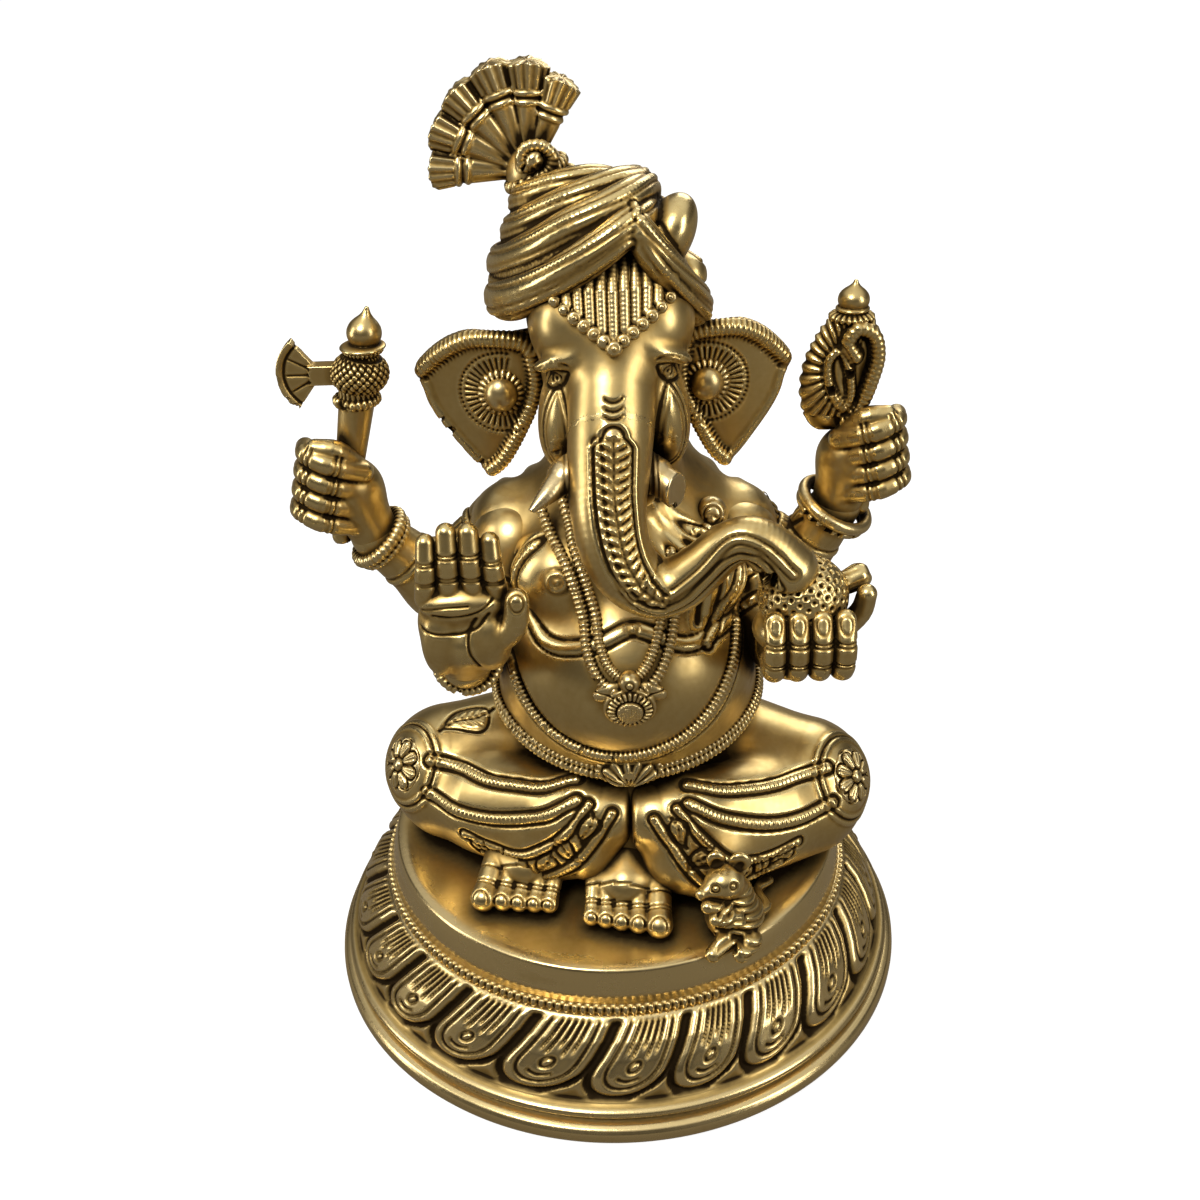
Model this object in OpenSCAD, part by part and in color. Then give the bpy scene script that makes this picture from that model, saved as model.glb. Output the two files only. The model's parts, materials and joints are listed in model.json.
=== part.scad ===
// Seated elephant-headed deity in cast brass on a round lotus pedestal.
// Millimetres, +Z up, the figure faces -Y, origin at the middle of the foot's underside.

/* [Pedestal] */
// radius of the pedestal at its foot flange
base_r = 110; // [80:1:150]
// height of the pedestal's petal part, up to its top seat
pedestal_h = 39; // [30:1:60]
// radius of the pedestal's petal part at its top seat
pedestal_top_r = 88; // [65:1:120]
// wall thickness of the hollow pedestal and drum
wall = 4; // [2.5:0.5:8]
// number of lotus petals around the skirt
petals = 22; // [12:1:36]
// height of the knurled ring
ring_h = 4; // [3:0.5:8]
// height of the drum above the knurled ring
drum_h = 12.5; // [8:0.5:30]
// how much the drum narrows from its foot to its deck
drum_taper = 3; // [0:0.5:8]

/* [Body] */
// radius of the belly
belly_r = 45; // [36:1:52]
// radius of the chest
chest_r = 37; // [28:1:42]
// radius of a knee
knee_r = 21; // [15:1:26]
// radius of the upper arm at the elbow
arm_r = 12; // [8:0.5:15]
// radius of a wrist
wrist_r = 8; // [6:0.5:11]
// thickness of the two strands of the necklace
strand = 4; // [2.5:0.25:6]
// height of the belt
belt_h = 6; // [4:0.5:10]

/* [Head] */
// radius of the head
head_r = 26; // [21:1:30]
// radius of the trunk where it leaves the head
trunk_r = 14; // [11:0.5:17]
// thickness of an ear
ear_t = 4; // [2.5:0.25:7]
// radius of the full tusk at its root
tusk_r = 4.6; // [3:0.1:5.6]
// radius of the lowest turban wrap
turban_r = 27; // [22:1:31]
// thickness of one turban wrap
wrap_r = 7.5; // [6:0.5:9]
// length of the middle cone of the plume
plume_l = 28; // [19:1:40]

/* [Held things] */
// radius of the axe handle at its lower end
handle_r = 3; // [2:0.25:5]
// thickness of the axe blade
blade_t = 4; // [2.5:0.25:8]
// radius of the noose's round cord
noose_r = 4.5; // [3:0.25:7]
// radius of the sweet held in the hand
sweet_r = 12.5; // [9:0.5:16]

/* [Fits] */
// gap between pieces that seat on each other
fit = 0.15; // [0.05:0.05:0.5]
// radius of the tenon that locates the body in the deck
tenon_r = 14; // [8:0.5:20]
// depth of that tenon
tenon_l = 3.5; // [2:0.25:4]

/* [Hidden] */
$fn = 48;
ring_z = pedestal_h + ring_h;
deck = ring_z + drum_h;
deck_r = pedestal_top_r - drum_taper - 1;
drum_foot_r = pedestal_top_r - 1;
seat_r = drum_foot_r - 5;
skirt_r = base_r - 7;

// figure landmarks above the deck: hips, knees, shoulders, head
hip_z = deck + 28;
belly_c = [6, -10, deck + 82];
chest_c = [6, 1, deck + 112];
neck_a = [5, -2, deck + 138];
neck_b = [3, -13, deck + 180];
head_c = [3, -14, deck + 203];
knee_l = [-65, 2, deck + knee_r + 3];
knee_r_p = [74, -14, deck + knee_r + 3];
neck_r = 20;

// how far the round joints stand proud of the straight runs between them
proud = 0.25;

// ---- shared shapes ----
module ball(p, r) {
    translate(p) sphere(r = r);
}

module rod(a, b, r1, r2) {
    d = b - a;
    translate(a)
        rotate([0, acos(d[2] / norm(d)), atan2(d[1], d[0])])
            cylinder(h = norm(d), r1 = r1, r2 = r2);
}

// a limb with round ends
module limb(a, b, r1, r2, g = 0) {
    ball(a, r1 + proud + g);
    ball(b, r2 + proud + g);
    rod(a, b, r1 + g, r2 + g);
}

// a chain of round-ended limbs through points, with one radius per point
module chain(pts, rs, g = 0) {
    for (i = [0:len(pts) - 2]) rod(pts[i], pts[i + 1], rs[i] + g, rs[i + 1] + g);
    for (i = [0:len(pts) - 1]) ball(pts[i], rs[i] + proud + g);
}

// a ring around the line from a towards b
module band(a, b, big, small) {
    d = b - a;
    translate(a)
        rotate([0, acos(d[2] / norm(d)), atan2(d[1], d[0])])
            rotate_extrude() translate([big, 0]) circle(r = small, $fn = 32);
}

module below_deck() {
    translate([-200, -200, deck - 60]) cube([400, 400, 60 + fit]);
}

// a flat outline in the XZ plane, t thick, front face towards -Y
module plate(p, t) {
    translate(p) rotate([90, 0, 0]) linear_extrude(height = t, center = true) children();
}

// ---- pedestal ----
module pedestal() {
    color("darkgoldenrod") difference() {
        rotate_extrude($fn = 96) polygon([
            [base_r - 12, 0], [base_r - 1.5, 0], [base_r, 1.5], [base_r, 5.5], [base_r - 1.5, 7],
            [skirt_r + 4, 7.5], [skirt_r + 4, 9], [skirt_r + 6, 10], [skirt_r + 6, 12],
            [skirt_r + 1, 13.5], [skirt_r, 15], [skirt_r - 1, 21], [skirt_r - 4, 28],
            [pedestal_top_r + 5, pedestal_h - 4], [pedestal_top_r, pedestal_h],
            [seat_r + fit, pedestal_h], [seat_r + fit, pedestal_h - 3], [seat_r - 6, pedestal_h - 3],
            [seat_r - 6, pedestal_h - 3 - wall], [pedestal_top_r, pedestal_h - 4 - wall],
            [skirt_r - 4 - wall, 21], [skirt_r - wall, 13], [base_r - 12, 8]]);
        for (i = [0:petals - 1])
            rotate([0, 0, 360 * i / petals])
                rod([skirt_r + 2.4, 0, 10], [pedestal_top_r + 2.6, 9, pedestal_h + 4], 1.5, 1.5);
    }
}

module knurled_ring() {
    color("goldenrod") translate([0, 0, pedestal_h + fit]) rotate_extrude($fn = 96) polygon([
        [drum_foot_r - 3 + fit, 0], [pedestal_top_r - 1, 0], [pedestal_top_r + 0.5, 1],
        [pedestal_top_r + 0.5, ring_h - 1.3], [pedestal_top_r - 1, ring_h - 2 * fit],
        [drum_foot_r - 3 + fit, ring_h - 2 * fit]]);
}

module seat_drum() {
    color("goldenrod") difference() {
        rotate_extrude($fn = 96) polygon([
            [seat_r - wall, pedestal_h - 3 + fit], [seat_r, pedestal_h - 3 + fit],
            [seat_r, pedestal_h + fit], [drum_foot_r - 3, pedestal_h + fit],
            [drum_foot_r - 3, ring_z], [drum_foot_r, ring_z], [deck_r + 0.7, deck - 0.7],
            [deck_r - 0.4, deck], [0, deck], [0, deck - wall],
            [deck_r - 2 * wall, deck - wall], [seat_r - wall, ring_z]]);
        translate([belly_c[0], 5, deck - wall - 1]) cylinder(h = wall + 2, r = tenon_r + fit);
    }
}

// ---- body ----
module torso_raw(g = 0) {
    trunk_of_body(g);
    translate([belly_c[0], 3, deck]) cylinder(h = 60, r1 = 40 + g, r2 = 42 + g);
    rod(neck_a, neck_b, neck_r + g, neck_r + g);
}

// belly, chest and shoulders, which limbs and dress seat on
module trunk_of_body(g = 0) {
    ball(belly_c, belly_r + g);
    ball(chest_c, chest_r + g);
    rod([-27, 3, deck + 118], [38, 3, deck + 117], 17 + g, 17 + g);
}

module torso() {
    color("goldenrod") {
        difference() {
            torso_raw();
            below_deck();
        }
        translate([belly_c[0], 5, deck - tenon_l]) cylinder(h = tenon_l + 2, r = tenon_r);
    }
}

module leg_left_raw(g = 0) {
    rod([-20, 8, hip_z], knee_l, 25 + g, knee_r - 1 + g);
    ball(knee_l, knee_r + g);
    rod(knee_l + [4, -4, -5], [-34, -30, deck + 14], 16 + g, 12 + g);
    ball([-34, -30, deck + 14], 12 + proud + g);
}

module leg_right_raw(g = 0) {
    rod([30, 6, hip_z], knee_r_p, 25 + g, knee_r - 1 + g);
    ball(knee_r_p, knee_r + g);
    rod(knee_r_p + [-4, -4, -4], [22, -44, deck + 15], 16 + g, 13 + g);
    ball([22, -44, deck + 15], 13 + proud + g);
}

module leg_left() {
    color("goldenrod") difference() {
        leg_left_raw();
        torso_raw(fit);
        knee_flower_raw(knee_l, -1, fit);
        below_deck();
    }
}

module leg_right() {
    color("goldenrod") difference() {
        leg_right_raw();
        torso_raw(fit);
        knee_flower_raw(knee_r_p, 1, fit);
        below_deck();
    }
}

// a round medallion seated on the knee
module knee_flower_raw(k, side, g = 0) {
    rod(k + [side * (knee_r - 6), -(knee_r - 12), 2], k + [side * (knee_r - 2), -(knee_r - 8), 6],
        10 + g, 9 + g);
}

module knee_flower_left() {
    color("gold") knee_flower_raw(knee_l, -1);
}

module knee_flower_right() {
    color("gold") knee_flower_raw(knee_r_p, 1);
}

module foot_left_raw(g = 0) {
    rod([-31, -36, deck + 11], [-38, -47, deck + 6], 9 + g, 6 + g);
    ball([-38, -47, deck + 6], 6.3 + g);
    rod([-31, -36, deck + 9], [-28, -51, deck + 5], 7 + g, 4.5 + g);
    ball([-28, -51, deck + 5], 4.8 + g);
}

module foot_right_raw(g = 0) {
    rod([16, -49, deck + 11], [2, -58, deck + 6], 9 + g, 6 + g);
    ball([2, -58, deck + 6], 6.3 + g);
    rod([16, -49, deck + 9], [11, -61, deck + 5], 7 + g, 4.5 + g);
    ball([11, -61, deck + 5], 4.8 + g);
}

module foot_left() {
    color("gold") difference() {
        foot_left_raw();
        leg_left_raw(fit);
        below_deck();
    }
}

module foot_right() {
    color("gold") difference() {
        foot_right_raw();
        leg_right_raw(fit);
        below_deck();
    }
}

// ---- dress on the body ----
belt_z = belly_c[2] - 21;
belt_c = [belly_c[0], belly_c[1] + 2, belt_z];
belt_big = sqrt(belly_r * belly_r - 21 * 21) + 2;

module belt_raw(g = 0) {
    translate(belt_c) rotate([18, 0, 0]) rotate_extrude($fn = 96)
        translate([belt_big, 0]) circle(r = belt_h / 2 + g, $fn = 32);
}

module belt() {
    color("gold") difference() {
        belt_raw();
        torso_raw(fit);
        leg_left_raw(fit);
        leg_right_raw(fit);
        buckle_raw(fit);
    }
}

module buckle_raw(g = 0) {
    translate(belt_c) rotate([18, 0, 0]) rotate([90, 0, 0])
        translate([0, 0, belt_big - 4]) cylinder(h = 8 + g, r1 = 10 + g, r2 = 8 + g);
}

module belt_buckle() {
    color("gold") difference() {
        buckle_raw();
        torso_raw(fit);
    }
}

// a cord that lies on the belly in a slanted ring, open under the chest
thread_off = 26.5;
thread_big = sqrt(belly_r * belly_r - thread_off * thread_off) + 1;

module thread_raw(g = 0) {
    translate(belly_c + thread_off * [0, -0.79, 0.61]) rotate([52.4, -3, 0])
        rotate_extrude($fn = 120) translate([thread_big, 0]) circle(r = 2.4 + g, $fn = 48);
}

module sacred_thread() {
    $fn = 120;
    color("gold") difference() {
        thread_raw();
        ball(belly_c, belly_r + fit);
        translate([-100, -150, deck + 98]) cube([200, 200, 60]);
    }
}

module necklace_raw(g = 0) {
    translate([belly_c[0], -22, deck + 122]) rotate([58, 0, 0]) rotate_extrude($fn = 96) {
        translate([29, 0]) circle(r = strand / 2 + g, $fn = 32);
        translate([29 + strand * 0.9, 0]) circle(r = strand / 2 + g, $fn = 32);
    }
}

module necklace() {
    color("gold") intersection() {
        difference() {
            necklace_raw();
            ball(belly_c, belly_r + fit);
            ball(chest_c, chest_r + fit);
            pendant_raw(fit);
        }
        translate([-60, -120, deck + 70]) cube([130, 110, 52]);
    }
}

module pendant_raw(g = 0) {
    rod(belly_c + [0, -belly_r + 5, 13], belly_c + [0, -belly_r - 1, 14], 9 + g, 8 + g);
    ball(belly_c + [0, -belly_r + 4, 23.5], 5 + g);
}

module pendant() {
    $fn = 120;
    color("gold") difference() {
        pendant_raw();
        ball(belly_c, belly_r + fit);
    }
}

module shoulder_boss() {
    color("gold") difference() {
        ball([42, -15, deck + 131], 8);
        trunk_of_body(fit);
    }
}

// ---- arms ----
palm_sh = [-33, -6, deck + 120];
palm_el = [-54, -26, deck + 92];
palm_wr = [-47, -58, deck + 106];
palm_c = [-44, -62, deck + 134];
sweet_sh = [44, -6, deck + 118];
sweet_el = [62, -26, deck + 90];
sweet_wr = [58, -58, deck + 106];
sweet_c = [57, -68, deck + 137];
axe_sh = [-36, 6, deck + 122];
axe_el = [-62, 4, deck + 101];
axe_wr = [-79, 0, deck + 126];
axe_c = [-90, 0, deck + 142];
noose_sh = [47, 6, deck + 120];
noose_el = [64, 4, deck + 104];
noose_wr = [78, 0, deck + 131];
noose_c = [89, 0, deck + 147];

module arm_palm_raw(g = 0) {
    rod(palm_sh, palm_el, 15 + g, arm_r + g);
    ball(palm_el, arm_r + proud + g);
    rod(palm_el, palm_wr, arm_r + g, wrist_r + g);
}

module arm_sweet_raw(g = 0) {
    rod(sweet_sh, sweet_el, 15 + g, arm_r + g);
    ball(sweet_el, arm_r + proud + g);
    rod(sweet_el, sweet_wr, arm_r + g, wrist_r + g);
}

module arm_axe_raw(g = 0) {
    rod(axe_sh, axe_el, 14 + g, arm_r + g);
    ball(axe_el, arm_r + proud + g);
    rod(axe_el, axe_wr, arm_r + g, wrist_r + 1 + g);
}

module arm_noose_raw(g = 0) {
    rod(noose_sh, noose_el, 14 + g, arm_r + g);
    ball(noose_el, arm_r + proud + g);
    rod(noose_el, noose_wr, arm_r + g, wrist_r + 1 + g);
}

module arm_palm() {
    color("goldenrod") difference() {
        arm_palm_raw();
        trunk_of_body(fit);
    }
}

module arm_sweet() {
    color("goldenrod") difference() {
        arm_sweet_raw();
        trunk_of_body(fit);
    }
}

module arm_axe() {
    color("goldenrod") difference() {
        arm_axe_raw();
        trunk_of_body(fit);
        rod(palm_sh, palm_el, 15 + fit, arm_r + fit);
    }
}

module arm_noose() {
    color("goldenrod") difference() {
        arm_noose_raw();
        trunk_of_body(fit);
        rod(sweet_sh, sweet_el, 15 + fit, arm_r + fit);
    }
}

// palm towards the front, fingers up
module hand_palm_raw(g = 0) {
    w = (palm_wr - palm_el) / norm(palm_wr - palm_el);
    rod(palm_wr + w * fit, palm_c + [0, 0, -12], wrist_r, 9);
    rod(palm_c + [-6, 0, -13], palm_c + [-7, 0, 6], 7.5, 7);
    rod(palm_c + [6, 0, -13], palm_c + [7, 0, 6], 7.5, 7);
    for (i = [0:3]) {
        tip = palm_c + [-9 + 6.2 * i, 0, 24 - 1.4 * abs(i - 1.5)];
        rod(palm_c + [-9 + 6.2 * i, 0, 4], tip, 3.4, 3);
        ball(tip, 3);
    }
    rod(palm_c + [12, -3, -10], palm_c + [16, -4, 6], 4.5, 3.4);
}

module hand_palm() {
    color("gold") hand_palm_raw();
}

module bangle_palm_raw() {
    w = (palm_wr - palm_el) / norm(palm_wr - palm_el);
    band(palm_wr - w * 5, palm_wr, wrist_r + 3.6, 2.2);
}

module bangle_palm() {
    color("gold") bangle_palm_raw();
}

module hand_sweet_raw(g = 0) {
    w = (sweet_wr - sweet_el) / norm(sweet_wr - sweet_el);
    rod(sweet_wr + w * fit, sweet_c + [0, 0, -22], wrist_r, 9);
    limb(sweet_c + [-6, 0, -20], sweet_c + [6, 0, -20], 9, 9, g);
    for (i = [0:3]) {
        tip = sweet_c + [-9 + 6.4 * i, -15, -4];
        rod(sweet_c + [-9 + 6.4 * i, -8, -20], tip, 3.6, 3.1);
        ball(tip, 3.1);
    }
    rod(sweet_c + [11, 2, -18], sweet_c + [15, -4, -4], 4.5, 3.5);
}

module hand_sweet() {
    color("gold") difference() {
        hand_sweet_raw();
        sweet_raw(fit);
    }
}

module sweet_raw(g = 0) {
    ball(sweet_c, sweet_r + g);
}

module sweet() {
    color("gold") difference() {
        sweet_raw();
        ball(trunk_pts[6], trunk_rs[6] + proud + fit);
        rod(trunk_pts[5], trunk_pts[6], trunk_rs[5] + fit, trunk_rs[6] + fit);
    }
}

module hand_axe_raw(g = 0) {
    w = (axe_wr - axe_el) / norm(axe_wr - axe_el);
    rod(axe_wr + w * fit, axe_c + w * 2, wrist_r + 0.5, 9);
    ball(axe_c + w * 2, 11.5);
    for (i = [0:3])
        rod(axe_c + [-9, -10, -8 + 6 * i], axe_c + [7, -10.5, -8.5 + 6 * i], 3.2, 3.2);
}

module hand_axe() {
    color("gold") difference() {
        hand_axe_raw();
        axe_handle_raw(fit);
    }
}

module bracelet_axe_raw() {
    w = (axe_wr - axe_el) / norm(axe_wr - axe_el);
    band(axe_wr - w * 5, axe_wr, wrist_r + 4.6, 2.2);
}

module bracelet_axe() {
    color("gold") bracelet_axe_raw();
}

module hand_noose_raw(g = 0) {
    w = (noose_wr - noose_el) / norm(noose_wr - noose_el);
    rod(noose_wr + w * fit, noose_c + w * 2, wrist_r + 0.5, 9);
    ball(noose_c + w * 2, 11.5);
    for (i = [0:3])
        rod(noose_c + [-9, -10, -8 + 6 * i], noose_c + [7, -10.5, -8.5 + 6 * i], 3.2, 3.2);
}

module hand_noose() {
    color("gold") difference() {
        hand_noose_raw();
        rod(noose_pts[0], noose_pts[1], 4 + fit, 4 + fit);
    }
}

module bracelet_noose_raw() {
    w = (noose_wr - noose_el) / norm(noose_wr - noose_el);
    band(noose_wr - w * 5, noose_wr, wrist_r + 4.6, 2.2);
}

module bracelet_noose() {
    color("gold") bracelet_noose_raw();
}

// ---- axe ----
handle_a = axe_c + [-1, 0, -17];
handle_b = axe_c + [11, 0, 34];

module axe_handle_raw(g = 0) {
    rod(handle_a, handle_b, handle_r + g, handle_r - 0.6 + g);
}

module axe_handle() {
    color("gold") difference() {
        axe_handle_raw();
        ball(handle_b + [1.3, 0, 6], 7.5 + fit);
    }
}

module axe_head() {
    color("gold") ball(handle_b + [1.3, 0, 6], 7.5);
}

module axe_blade() {
    color("gold") difference() {
        plate(handle_b + [0, 0, 6], blade_t) polygon([
            [-4, -4], [-17, -10], [-21, -11], [-25, -5], [-26.5, 4], [-24, 10], [-19, 12], [-4, 4]]);
        ball(handle_b + [1.3, 0, 6], 7.5 + fit);
    }
}

module axe_finial() {
    color("gold") difference() {
        rod(handle_b + [2, 0, 9], handle_b + [6, 0, 28], 5.5, 1);
        ball(handle_b + [1.3, 0, 6], 7.5 + fit);
    }
}

// ---- noose ----
noose_pts = [noose_c + [-2, -2, -12], noose_c + [-3, -1, 8], noose_c + [-16, 0, 16],
    noose_c + [-24, 0, 30], noose_c + [-16, 0, 45], noose_c + [-3, 0, 42], noose_c + [-3, 0, 31]];

module noose_raw(g = 0) {
    chain(noose_pts, [4, 4, noose_r + 1, noose_r + 2, noose_r + 1, noose_r, noose_r], g);
}

module noose() {
    color("gold") noose_raw();
}

module noose_finial() {
    color("gold") difference() {
        rod(noose_pts[4] + [3, 0, 3], noose_pts[4] + [5, 0, 15], 5, 1.2);
        ball(noose_pts[4], noose_r + 1 + fit);
        rod(noose_pts[4], noose_pts[5], noose_r + 1 + fit, noose_r + fit);
    }
}

// ---- head ----
trunk_pts = [head_c + [0, -28, -16], head_c + [-1, -38, -33], head_c + [2, -49, -52],
    head_c + [10.5, -53.8, -64], head_c + [24, -55.3, -54.5], head_c + [35, -56.5, -47],
    head_c + [46.5, -57.5, -56.5]];
trunk_rs = [trunk_r - 0.5, trunk_r, trunk_r - 3, trunk_r - 5, trunk_r - 6.6, trunk_r - 7.5, trunk_r - 5.8];

module head_raw(g = 0) {
    ball(head_c, head_r + g);
    ball(head_c + [-11, -16, -18], 15 + g);
    ball(head_c + [11, -16, -18], 15 + g);
}

// the trunk's root, which the head and the tusks seat round
module trunk_root(g = 0) {
    rod(trunk_pts[0], trunk_pts[1], trunk_rs[0] + g, trunk_rs[1] + g);
    ball(trunk_pts[0], trunk_rs[0] + proud + g);
    ball(trunk_pts[1], trunk_rs[1] + proud + g);
}

module head() {
    color("goldenrod") difference() {
        head_raw();
        rod(neck_a, neck_b + (neck_b - neck_a) * 0.004, neck_r + fit, neck_r + fit);
        trunk_root(fit);
    }
}

module trunk() {
    color("goldenrod") chain(trunk_pts, trunk_rs);
}

module tusk_full_raw(g = 0) {
    rod(head_c + [-11, -35, -35], head_c + [-24.5, -48.5, -40], tusk_r + g, 1 + g);
}

module tusk_full() {
    color("khaki") difference() {
        tusk_full_raw();
        trunk_root(fit);
        rod(trunk_pts[1], trunk_pts[2], trunk_rs[1] + fit, trunk_rs[2] + fit);
    }
}

module tusk_broken_raw(g = 0) {
    rod(head_c + [7, -28, -36.5], head_c + [18, -36.5, -42], tusk_r + g, tusk_r + 0.2 + g);
}

module tusk_broken() {
    color("khaki") difference() {
        tusk_broken_raw();
        trunk_root(fit);
        rod(trunk_pts[1], trunk_pts[2], trunk_rs[1] + fit, trunk_rs[2] + fit);
    }
}

// ear outline seen from the front; s is the side, k widens it
module ear_outline(s, k) {
    pts = [[17, 6], [22, 8], [30, 7.2], [41, 8], [47, 5.5], [52.5, 1], [57, -4.5], [55, -11],
        [54, -16], [51, -22], [46, -29], [41, -36], [36.6, -40], [33, -38], [31, -32], [28, -26],
        [24, -19], [19, -12]];
    polygon([for (q = pts) [s * k * q[0], q[1]]]);
}

module ear_left_raw(g = 0) {
    plate(head_c + [0, 9, -14.5], ear_t + 2 * g) ear_outline(-1, 1.1);
}

module ear_right_raw(g = 0) {
    plate(head_c + [0, 9, -13], ear_t + 2 * g) ear_outline(1, 1);
}

module ear_left() {
    color("goldenrod") difference() {
        ear_left_raw();
        ball(head_c, head_r + fit);
        ear_boss_raw(-1, fit);
    }
}

module ear_right() {
    color("goldenrod") difference() {
        ear_right_raw();
        ball(head_c, head_r + fit);
        ear_boss_raw(1, fit);
    }
}

module ear_boss_raw(s, g = 0) {
    ball(head_c + [s * 31, 8.5 - ear_t / 2, -25.5], 5.5 + g);
}

module ear_boss_left() {
    color("gold") ear_boss_raw(-1);
}

module ear_boss_right() {
    color("gold") ear_boss_raw(1);
}

// ---- forehead and turban ----
module fringe_raw(g = 0) {
    for (i = [-4:4])
        rod(head_c + [3.4 * i, -22.5 + 0.3 * i * i, 17], head_c + [3.4 * i, -26 + 0.3 * i * i, 4 + 2 * abs(i)],
            1.5 + g, 1.5 + g, $fn = 48);
    // the header the rods hang from
    rod(head_c + [-14, -20.5, 13.5], head_c + [14, -20.5, 13.5], 2.2 + g, 2.2 + g, $fn = 48);
}

module forehead_fringe() {
    color("gold") difference() {
        fringe_raw();
        ball(head_c, head_r + fit, $fn = 120);
        low_wrap(fit);
    }
}

// the lowest wrap of the turban, highest over the brow
module low_wrap(g = 0) {
    translate(head_c + [-2, 6, 16]) rotate([-20, -17, 0]) rotate_extrude($fn = 72)
        translate([turban_r, 0]) circle(r = wrap_r + g, $fn = 32);
}

module turban_raw(g = 0) {
    low_wrap(g);
    translate(head_c + [-10, 10, 26]) rotate([-8, -12, 0]) rotate_extrude($fn = 64)
        translate([turban_r - 8, 0]) circle(r = wrap_r + g, $fn = 32);
    ball(head_c + [-8, 10, 19], 20 + g);
}

module turban() {
    color("goldenrod") difference() {
        turban_raw();
        rod(collar_a, collar_b, 9.5 + fit, 8.5 + fit);
        ball(head_c, head_r + fit);
    }
}

collar_a = head_c + [-17.5, 18, 32];
collar_b = head_c + [-19.5, 18, 41];

module collar_raw(g = 0) {
    rod(collar_a, collar_b, 9.5 + g, 8.5 + g);
}

module turban_collar() {
    color("gold") collar_raw();
}

module plume_raw(g = 0) {
    for (i = [0:5]) {
        a = -84 + 22 * i;
        l = plume_l + (i > 1 && i < 5 ? 3.5 : 1);
        rod(collar_b + [5 * sin(a), 0, 3 + 2 * cos(a)], collar_b + [l * sin(a), 0, l * cos(a)],
            3 + g, 5.2 + g);
    }
}

module plume() {
    color("gold") plume_raw();
}

module brooch_raw(g = 0) {
    rod(collar_b + [1, -8.7, 2.5], collar_b + [1, -12, 3], 6 + g, 5 + g);
}

module brooch() {
    color("gold") brooch_raw();
}

// ---- mouse ----
module mouse() {
    color("goldenrod") difference() {
        union() {
            rod([42, -66, deck + 10], [37, -69, deck + 17], 10, 7.5);
            ball([42, -66, deck + 10], 10.5);
            ball([36.5, -69.3, deck + 18], 8.2);
            rod([33.5, -70.5, deck + 21], [25, -74, deck + 19], 6, 2.6);
            ball([36.5, -66.5, deck + 28], 4.4);
            ball([30, -70.5, deck + 11], 4);
            rod([48, -62, deck + 6], [57, -50, deck + 3.5], 3, 1.8);
        }
        below_deck();
    }
}

pedestal();
knurled_ring();
seat_drum();
torso();
leg_left();
leg_right();
foot_left();
foot_right();
knee_flower_left();
knee_flower_right();
belt();
belt_buckle();
sacred_thread();
necklace();
pendant();
shoulder_boss();
arm_palm();
hand_palm();
bangle_palm();
arm_sweet();
hand_sweet();
sweet();
arm_axe();
hand_axe();
bracelet_axe();
axe_handle();
axe_head();
axe_blade();
axe_finial();
arm_noose();
hand_noose();
bracelet_noose();
noose();
noose_finial();
head();
trunk();
tusk_full();
tusk_broken();
ear_left();
ear_right();
ear_boss_left();
ear_boss_right();
forehead_fringe();
turban();
turban_collar();
plume();
brooch();
mouse();
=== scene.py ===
import json
import math
import time
import numpy as np
import bpy
from mathutils import Matrix, Vector

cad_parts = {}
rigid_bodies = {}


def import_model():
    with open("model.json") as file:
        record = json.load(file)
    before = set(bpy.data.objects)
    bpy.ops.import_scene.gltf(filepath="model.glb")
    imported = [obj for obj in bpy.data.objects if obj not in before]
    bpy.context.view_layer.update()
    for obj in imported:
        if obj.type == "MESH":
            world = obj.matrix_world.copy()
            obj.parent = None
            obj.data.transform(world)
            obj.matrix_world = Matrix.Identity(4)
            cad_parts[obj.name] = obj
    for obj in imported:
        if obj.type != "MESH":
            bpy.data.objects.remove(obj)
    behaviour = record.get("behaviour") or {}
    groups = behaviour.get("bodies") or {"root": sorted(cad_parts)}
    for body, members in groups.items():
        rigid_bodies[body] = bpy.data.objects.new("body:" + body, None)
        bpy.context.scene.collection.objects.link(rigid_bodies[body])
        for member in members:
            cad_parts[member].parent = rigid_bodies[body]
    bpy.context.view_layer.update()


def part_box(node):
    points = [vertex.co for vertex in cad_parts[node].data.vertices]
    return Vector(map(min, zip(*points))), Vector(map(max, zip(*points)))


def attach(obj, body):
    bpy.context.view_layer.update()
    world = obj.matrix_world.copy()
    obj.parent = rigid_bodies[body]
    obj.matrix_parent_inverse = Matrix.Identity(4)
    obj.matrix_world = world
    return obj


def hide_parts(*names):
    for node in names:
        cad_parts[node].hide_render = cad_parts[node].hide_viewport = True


for o in list(bpy.data.objects):
    bpy.data.objects.remove(o, do_unlink=True)
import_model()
MM = 1000.0
TAU = 2 * math.pi


def corner(node):
    lo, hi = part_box(node)
    return np.array(lo) * MM, np.array(hi) * MM


# ---- what comes from the frame: the base's radius and the height of the deck
# The boxes of the buckle, legs and knee flowers place the lines on the trousers. The other places are
# design points in the CAD's frame, in millimetres, with heights above the deck.
R = corner("pedestal")[1][0]
DECK = corner("seat_drum")[1][2]


def V(x, y, z):
    """A point given above the deck."""
    return np.array([x, y, z + DECK], float)


# ---- distance functions
def ln(v):
    return np.sqrt((v * v).sum(-1))


def ball(c, r):
    c = np.asarray(c, float)
    return lambda P: ln(P - c) - r


def rotm(rx=0, ry=0, rz=0):
    return np.array((Matrix.Rotation(math.radians(rz), 3, 'Z') @ Matrix.Rotation(math.radians(ry), 3, 'Y')
                     @ Matrix.Rotation(math.radians(rx), 3, 'X')))


def ell(c, r, M=None):
    c = np.asarray(c, float)
    r = np.asarray(r, float)

    def f(P):
        q = P - c
        if M is not None:
            q = q @ M
        k0 = ln(q / r)
        k1 = ln(q / (r * r)) + 1e-9
        return k0 * (k0 - 1) / k1
    return f


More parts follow.
